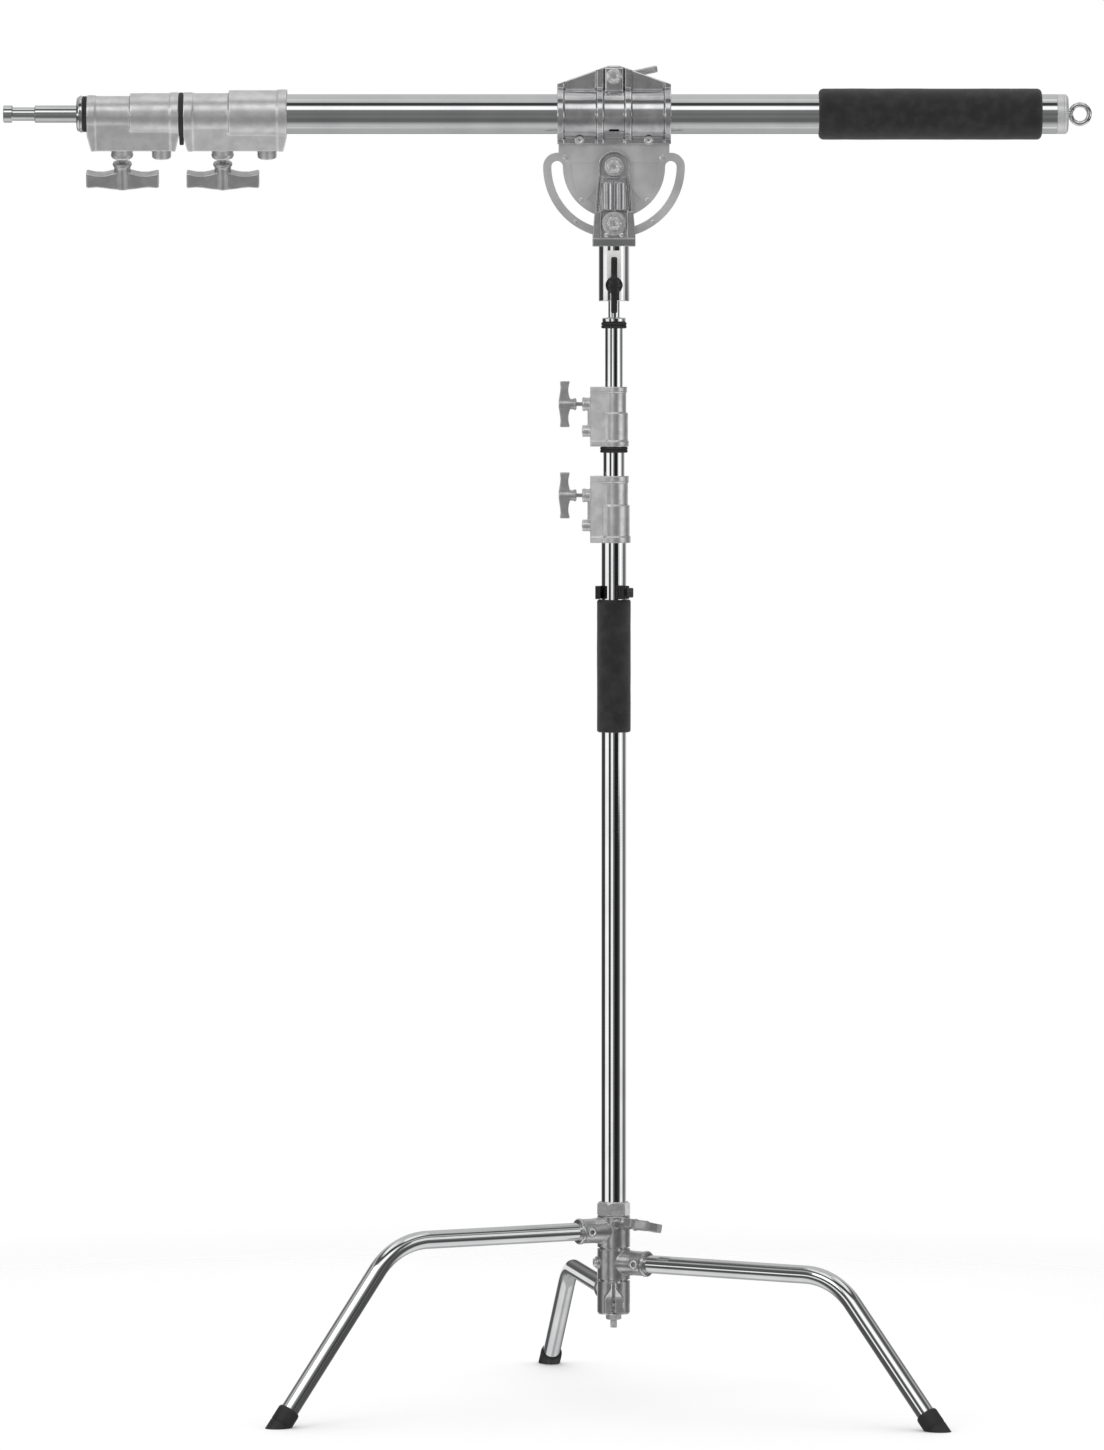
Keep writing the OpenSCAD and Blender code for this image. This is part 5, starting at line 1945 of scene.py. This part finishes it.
@dataclass
class Clamp(Assembly):
    """The two clamp shells, the protractor plate between them, and what bolts them together."""

    plate_t: float = 5
    flange_t: float = 5
    lug_face: float = 12
    bolt_z: float = 51.7
    bolt_d: float = 10
    screw_x: float = 48
    screw_z: float = -36.5
    screw_d: float = 7
    handle_angle: float = -12
    rivets: tuple = ((67, 13, 9), (46, -46, 6.4), (53.5, -76.5, 6.0))
    pieces: list = field(default_factory=list)

    def build(self) -> None:
        """Models the shells, the plate and the bolts."""
        for side, node in ((PLACES.front, "front_clamp_shell"), (PLACES.rear, "rear_clamp_shell")):
            self.shell(side(PLACES.arm_z), node)
        self.plate()
        self.bolts()

    def shell(self, place: Matrix, node: str) -> None:
        """One clamp shell: skin from the frame's solid with a slot window in its middle band.

        Args:
            place: Its place in the frame.
            node: The frame node.
        """
        piece = Bench.cast(Bench.copy_of(node, "cast_" + node), 0.9, 4)
        slot = Bench.block("slot_mark", (-7, -24.5, 0), (7, -21.5, 60), 1.2)
        floor = Bench.turned("slot_floor", [(30.5, -40), (30.5, 40)], 96)
        Bench.place(floor, turn(90, "Y"))
        Bench.carve(slot, floor)
        Bench.carve(piece, Bench.place(slot, place))
        self.settle(piece, CLAMP_STEEL, node, angle=50)

    def plate(self) -> None:
        """The protractor plate with its edges broken, and rivets on both faces."""
        piece = Bench.copy_of("protractor_plate", "rolled_protractor")
        Bench.edit(piece)
        bpy.ops.mesh.dissolve_limited(angle_limit=math.radians(0.5))
        bpy.ops.object.mode_set(mode="OBJECT")
        Bench.rounded(piece, 0.4, 2, 40)
        self.settle(piece, PLATE, "protractor_plate")
        for number, (x, z, size) in enumerate(self.rivets):
            for side in (-1, 1):
                for face, place in (("front", PLACES.front), ("rear", PLACES.rear)):
                    name = f"plate_rivet_{number}_{'left' if side < 0 else 'right'}_{face}"
                    dot = rivet(name, size, 1.1)
                    Bench.place(dot, place(PLACES.pivot_z) @ shift(side * x, z, self.plate_t / 2))
                    self.settle(dot, BOLTS, body="clamp")

    def bolts(self) -> None:
        """Two flange screws, the top bolt and the handle behind it."""
        stack = self.plate_t + 2 * self.flange_t
        face = self.plate_t / 2 + self.flange_t
        parts = []
        for side in (-1, 1):
            screw = hex_bolt("flange_screw", self.screw_d, stack + 5, 10.5, 4, 13, 1.2)
            place = PLACES.front(PLACES.arm_z + self.screw_z) @ shift(side * self.screw_x, 0, face)
            nut = Bench.hexagon("flange_nut", 10.5, face, face + 5)
            parts += [Bench.place(screw, place), Bench.place(
                nut, PLACES.rear(PLACES.arm_z + self.screw_z) @ shift(side * self.screw_x))]
        self.settle(Bench.joined("flange_screws", *parts), BOLTS, "clamp_screws")
        bolt = hex_bolt("clamp_hex_bolt", self.bolt_d, 2 * self.lug_face + 30, 18, 7, 22, 1.5)
        Bench.place(bolt, PLACES.front(PLACES.arm_z + self.bolt_z) @ shift(z=self.lug_face))
        self.settle(bolt, BOLTS, "clamp_bolt")
        handle = Handle(HandleKind.CLAMP, self.bolt_d, 0, bar_depth=4.7, bored=True).build("clamp_t_handle")
        place = PLACES.rear(PLACES.arm_z + self.bolt_z) @ shift(z=self.lug_face + 0.5) @ turn(self.handle_angle, "Z")
        self.settle(Bench.place(handle, place), HANDLE_CASTING, "clamp_handle", angle=None)


# ---------------------------------------------------------------- arm


@dataclass
class Arm(Assembly):
    """The telescoping arm: three tubes, two castings, foam grip, end plug, eye and stud."""

    tubes: tuple = (("boom_tube", 55), ("boom_2_tube", 47), ("boom_3_tube", 39))
    wall: float = 2
    grip_d: float = 71
    grip_bore: float = 55.1
    block_depth: float = 47.5
    boss_len: float = 16
    screw_d: float = 9
    screw_share: float = 0.63
    bolt_share: float = 0.2
    eye_r: float = 13
    eye_wire: float = 7
    plug_len: float = 15.5
    stud_d: float = 24
    stud_len: float = 102
    flange_d: float = 51
    flange_h: float = 8
    pieces: list = field(default_factory=list)

    @staticmethod
    def span(node: str) -> tuple[float, float]:
        """Ends of a node along the arm, counted from the column axis: rear, then front."""
        low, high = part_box(node)
        return high[0] / MM - PLACES.axis_x, low[0] / MM - PLACES.axis_x

    def build(self) -> None:
        """Models the arm from its rear end to its stud."""
        for node, diameter in self.tubes:
            rear, front = self.span(node)
            piece = tube("drawn_" + node, diameter, diameter - 2 * self.wall, 0, rear - front)
            self.settle(Bench.place(piece, PLACES.arm(rear)), ARM_TUBE, node)
        rear, front = self.span("boom_grip")
        foam = foam_sleeve("arm_foam", self.grip_d, self.grip_bore, 0, rear - front, 7)
        self.settle(Bench.place(foam, PLACES.arm(rear)), FOAM, "boom_grip", angle=None)
        self.plug()
        self.collar("boom", 47)
        self.collar("boom_2", 39)
        self.gasket("boom_2_bumper", 47, 60)
        self.ring("boom_3_bumper", 39, 50.4)
        self.stud()

    def plug(self) -> None:
        """The end plug and the eye that a counterweight hangs from."""
        rear = self.span("boom_tube")[0]
        r = self.tubes[0][1] / 2
        profile = [
            (r - self.wall - 0.3, -25), (r - self.wall, -24), (r - self.wall, -0.1), (r - 0.4, 0), (r, 0.4),
            (r, 9), (r - 0.5, 9.4), (r, 9.8), (r, self.plug_len - 3.5), (r - 0.5, self.plug_len - 2.4),
            (r - 3.6, self.plug_len), (7.5, self.plug_len),
        ]
        piece = Bench.turned("turned_end_plug", profile, 128)
        Bench.place(piece, PLACES.arm(rear) @ turn(180, "Y"))
        self.settle(piece, PLUG_FACE, "boom_end_plug")
        eye_x = self.span("eye_ring")[0] - self.eye_r - self.eye_wire / 2
        shank = Bench.turned("eye_shank", [
            (4.5, -14), (4.5, self.plug_len), (7.2, self.plug_len + 0.1), (7.2, self.plug_len + 1.6),
            (6.2, self.plug_len + 2.4), (4.4, self.plug_len + 4), (3.2, self.plug_len + 6.6),
        ], 64)
        Bench.place(shank, PLACES.stand(PLACES.arm_z) @ shift(rear) @ turn(90, "Y"))
        eye = Bench.ring("eye", self.eye_r, self.eye_wire, 0, 96)
        Bench.place(eye, PLACES.stand(PLACES.arm_z) @ shift(eye_x) @ turn(90, "X"))
        self.settle(Bench.joined("forged_eye", eye, shank), SPIGOT_STEEL, "eye_ring", angle=40)

    def collar(self, name: str, inner_d: float) -> None:
        """A cast collar of the arm with its boss collar and handle.

        Args:
            name: The tube that carries it.
            inner_d: Diameter of the tube that runs inside.
        """
        node = name + "_casting"
        rear, front = self.span(node)
        length = rear - front
        place = PLACES.arm(rear)
        body = Bench.copy_of(node, "cast_" + node)
        parts = [body]
        for ring in boss_rings(length, self.block_depth, self.boss_len, 15.6, self.screw_share, 1.2):
            parts.append(Bench.place(ring, place))
        piece = Bench.cast(Bench.joined("cast_" + node, *parts), 1.05, 4)
        self.settle(piece, ARM_CASTING, node, angle=None)
        bolt = socket_screw(f"{name}_stop_bolt", 8, 4, 13, 4)
        bolt_place = place @ shift(-self.block_depth - self.boss_len + 4.4, 0, self.bolt_share * length)
        self.settle(Bench.place(bolt, bolt_place @ turn(-90, "Y")), BOLTS,
                    body=frame["nodes"][node]["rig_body"])
        reach = self.block_depth + self.boss_len - inner_d / 2 - 0.4
        handle = Handle(HandleKind.ARM, self.screw_d, reach, neck_share=0.07).build(name + "_t_handle")
        place = place @ shift(-self.block_depth - self.boss_len, 0, self.screw_share * length)
        self.settle(Bench.place(handle, place @ turn(-90, "Y")), HANDLE_CASTING, name + "_handle", angle=None)

    def ring(self, node: str, bore: float, outer: float) -> None:
        """A rubber bumper between two parts of the arm.

        Args:
            node: The frame node.
            bore: Diameter of the bore.
            outer: Outer diameter.
        """
        low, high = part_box(node)
        width = (high[0] - low[0]) / MM
        middle = (high[0] + low[0]) / 2 / MM - PLACES.axis_x
        r, inner = outer / 2, bore / 2 + 0.1
        piece = Bench.turned("moulded_" + node, [
            (inner, -width / 2 + 0.3), (r - 1.2, -width / 2 + 0.1), (r - 0.3, -width / 2 + 0.8), (r, -width / 4),
            (r - 0.4, -0.4), (r - 1.1, 0), (r - 0.4, 0.4), (r, width / 4), (r - 0.3, width / 2 - 0.8),
            (r - 1.2, width / 2 - 0.1), (inner, width / 2 - 0.3),
        ], 96, hollow=True)
        self.settle(Bench.place(piece, PLACES.arm(middle)), RUBBER, node, angle=50)

    def gasket(self, node: str, bore: float, outer: float) -> None:
        """The pear-shaped rubber pad between the two castings, with a lip round its middle.

        Args:
            node: The frame node.
            bore: Diameter of the bore.
            outer: Outer diameter.
        """
        low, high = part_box(node)
        width = (high[0] - low[0]) / MM
        middle = (high[0] + low[0]) / 2 / MM - PLACES.axis_x
        wide, small, drop = outer / 2, 15, 30
        lean = math.degrees(math.asin((wide - small) / drop))
        outline = [
            (wide * math.cos(math.radians(a)), wide * math.sin(math.radians(a)))
            for a in range(-int(90 + lean), int(90 + lean) + 1, 5)
        ] + [
            (-drop + small * math.cos(math.radians(a)), small * math.sin(math.radians(a)))
            for a in range(int(95 + lean), 360 - int(90 + lean), 8)
        ]
        pad = Bench.prism("moulded_" + node, outline, -width / 2, width / 2)
        Bench.carve(pad, Bench.turned("bore", [(bore / 2 + 0.1, -width), (bore / 2 + 0.1, width)], 96))
        Bench.rounded(pad, 1.3, 4, 50)
        self.settle(Bench.place(pad, PLACES.arm(middle)), RUBBER, node, angle=50)

    def stud(self) -> None:
        """The end stud on its flange."""
        rear, front = self.span("boom_stud")
        tip = rear - front
        flange_low = tip - self.stud_len - self.flange_h
        r = self.flange_d / 2
        profile = [
            (self.tubes[2][1] / 2 - self.wall, 0), (self.tubes[2][1] / 2 - self.wall, flange_low - 0.1),
            (r - 0.8, flange_low), (r, flange_low + 0.8), (r, flange_low + 3.4), (r - 1.1, flange_low + 4.2),
            (r - 1.1, flange_low + 5), (r - 2.2, flange_low + self.flange_h - 1),
            (r - 3.6, flange_low + self.flange_h), (self.stud_d / 2 + 1, flange_low + self.flange_h),
        ] + [(radius, min(z, tip)) for radius, z in
             baby_pin("stud", self.stud_d, self.stud_len, flange_low + self.flange_h + 0.4)]
        piece = Bench.turned("turned_arm_stud", profile, 96)
        self.settle(Bench.place(piece, PLACES.arm(rear)), SPIGOT_STEEL, "boom_stud", angle=30)


# ---------------------------------------------------------------- studio


@dataclass
class Studio:
    """Pale floor, soft light with a few dark cards for the bright metal to mirror, and the camera."""

    floor_r: float = 3
    backdrop: float = 1.0
    lens: float = 214
    distance: float = 12
    eye_height: float = 1.5
    aim: tuple = (0.006, 0, 0.954)
    ring: tuple = (
        (-180, 0.2), (-177, 1.0), (-150, 0.8), (-143, 0.1), (-125, 0.06), (-100, 0.04), (-90, 0.06), (-84, 1.1),
        (-52, 1.2), (-46, 0.1),
        (-42, 0.02), (-31, 0.03), (-27, 0.5), (-22, 1.2), (-9, 1.1), (-6, 0.2), (5, 0.15), (8, 0.02),
        (20, 0.01), (40, 0.03), (50, 0.08), (58, 0.3), (63, 1.1), (84, 1.0), (90, 0.3), (104, 0.13), (120, 0.2),
        (136, 0.5), (150, 0.8), (177, 1.0), (180, 0.2),
    )
    front: tuple = (
        (-90, 0.6), (-70, 0.6), (-60, 0.45), (-52, 0.3), (-46, 0.15), (-28, 0.15), (-20, 0.2), (16, 0.2), (22, 0.3),
        (26, 1.3), (42, 1.3), (48, 0.3), (51, 0.05), (66, 0.05), (71, 0.6), (90, 0.6),
    )
    sides: tuple = (
        (-90, 0.9), (-40, 0.8), (-30, 0.1), (0, 0.08), (34, 0.12), (38, 0.5), (44, 0.55), (50, 0.1), (58, 0.1),
        (66, 1.1), (90, 0.9),
    )
    rear: tuple = (
        (-90, 0.5), (-30, 0.45), (-18, 0.15), (-4, 0.08), (0, 0.3), (3, 0.1), (10, 0.12), (18, 0.6), (90, 0.6),
    )
    diffuse: float = 1.12

    def build(self) -> None:
        """Sets up the world, the lights, the floor and the camera."""
        self.world()
        self.lights()
        self.floor()
        self.camera()

    def world(self) -> None:
        """Mirrored surroundings with white and dark cards; straight sight sees a plain backdrop."""
        bpy.context.scene.view_settings.view_transform = "Standard"
        world = bpy.data.worlds.new("studio")
        bpy.context.scene.world = world
        world.use_nodes = True
        recipe = Recipe(world.node_tree)
        direction = recipe.node("ShaderNodeTexCoord").outputs["Generated"]
        split = recipe.node("ShaderNodeSeparateXYZ", sockets={0: direction})
        x, y, z = (Wire(recipe, split.outputs[k]) for k in range(3))
        azimuth = x.turn_of(y * -1)
        flat = (x * x + y * y).most(1e-6).root()
        height = z.turn_of(flat)
        around = self.card(recipe, self.ring, azimuth / (2 * math.pi) + 0.5, 360)
        front, sides, rear = (
            self.card(recipe, card, height / math.pi + 0.5, 180) for card in (self.front, self.sides, self.rear)
        )
        aside = abs(azimuth).step(math.radians(22), math.radians(36))
        behind = abs(azimuth).step(math.radians(128), math.radians(150))
        room = recipe.mix(behind, recipe.mix(aside, front, sides), rear)
        steep = abs(height + math.radians(3)).step(math.radians(4), math.radians(6.5))
        mirrored = recipe.mix(steep, around, room)
        path = recipe.node("ShaderNodeLightPath")
        level = recipe.mix(path.outputs["Is Diffuse Ray"], mirrored, (self.diffuse,) * 3)
        level = recipe.mix(path.outputs["Is Camera Ray"], level, (self.backdrop,) * 3)
        light = recipe.node("ShaderNodeBackground", sockets={"Color": level, "Strength": 1.0})
        recipe.node("ShaderNodeOutputWorld", sockets={"Surface": light.outputs[0]})

    @staticmethod
    def card(recipe: Recipe, bands: tuple, turn_part: Wire, full: float) -> bpy.types.NodeSocket:
        """Brightness along an angle, from (degrees, level) pairs over a full span."""
        stops = [(angle / full + 0.5, level) for angle, level in bands]
        return recipe.node("ShaderNodeValToRGB", {"stops": stops}, {0: turn_part}).outputs[0]

    def lights(self) -> None:
        """Large soft lights: key at the front left, fill at the right, one from above."""
        middle = Vector((0, 0, 1.0))
        for name, spot, size, power in (
            ("key", (-3.2, -3.6, 3.4), 2.2, 26),
            ("fill", (3.6, -2.6, 1.6), 2.0, 10),
            ("top", (0.3, 0.4, 4.6), 2.6, 14),
            ("rear", (-1.5, 3.8, 2.6), 2.0, 12),
        ):
            data = bpy.data.lights.new(name, "AREA")
            data.shape = "SQUARE"
            data.size = size
            data.energy = power
            light = bpy.data.objects.new(name, data)
            bpy.context.scene.collection.objects.link(light)
            light.location = spot
            light.rotation_euler = (middle - Vector(spot)).to_track_quat("-Z", "Y").to_euler()
            light.visible_camera = False
            light.visible_glossy = name in ("key", "fill")

    def floor(self) -> None:
        """A pale floor that fades out far from the stand."""
        Bench.clear()
        bpy.ops.mesh.primitive_circle_add(vertices=96, radius=self.floor_r, fill_type="NGON")
        floor = Bench.settle_new("studio_floor")
        material, recipe, shader = surface("pale_floor", {"Specular IOR Level": 0.1})
        split = recipe.node("ShaderNodeSeparateXYZ", sockets={0: recipe.place()})
        x, y = Wire(recipe, split.outputs[0]), Wire(recipe, split.outputs[1])
        apart = (x * x + y * y).root()
        mist = recipe.noise(3, 2)
        tone = recipe.mix(mist, (0.87, 0.87, 0.87), (0.89, 0.89, 0.89))
        recipe.tree.links.new(tone, shader.inputs["Base Color"])
        recipe.tree.links.new((mist * 0.1 + 0.6).socket, shader.inputs["Roughness"])
        mirrored = Wire(recipe, recipe.node("ShaderNodeLightPath").outputs["Is Glossy Ray"])
        recipe.tree.links.new(((1 - apart.step(0.8, 2.4)) * (1 - mirrored)).socket, shader.inputs["Alpha"])
        floor.data.materials.append(material)

    def camera(self) -> None:
        """A long lens at the front, level with the arm's lower side."""
        data = bpy.data.cameras.new("front")
        data.lens = self.lens
        data.sensor_width = 36
        data.clip_end = 100
        camera = bpy.data.objects.new("front", data)
        bpy.context.scene.collection.objects.link(camera)
        camera.location = (self.aim[0], PLACES.axis_y * MM - self.distance, self.eye_height)
        toward = Vector((self.aim[0], PLACES.axis_y * MM, self.aim[2])) - camera.location
        camera.rotation_euler = toward.to_track_quat("-Z", "Y").to_euler()
        bpy.context.scene.camera = camera


def main() -> None:
    """Builds the scene sub-assembly by sub-assembly."""
    logging.basicConfig(level=logging.INFO, format="%(message)s")
    Studio().build()
    assemblies = [Legs(), Hub(), Column(), Head(), Clamp(), Arm()]
    for assembly in assemblies:
        assembly.build()
        log.info("%s: %d pieces", type(assembly).__name__, len(assembly.pieces))


if __name__ == "__main__":
    main()
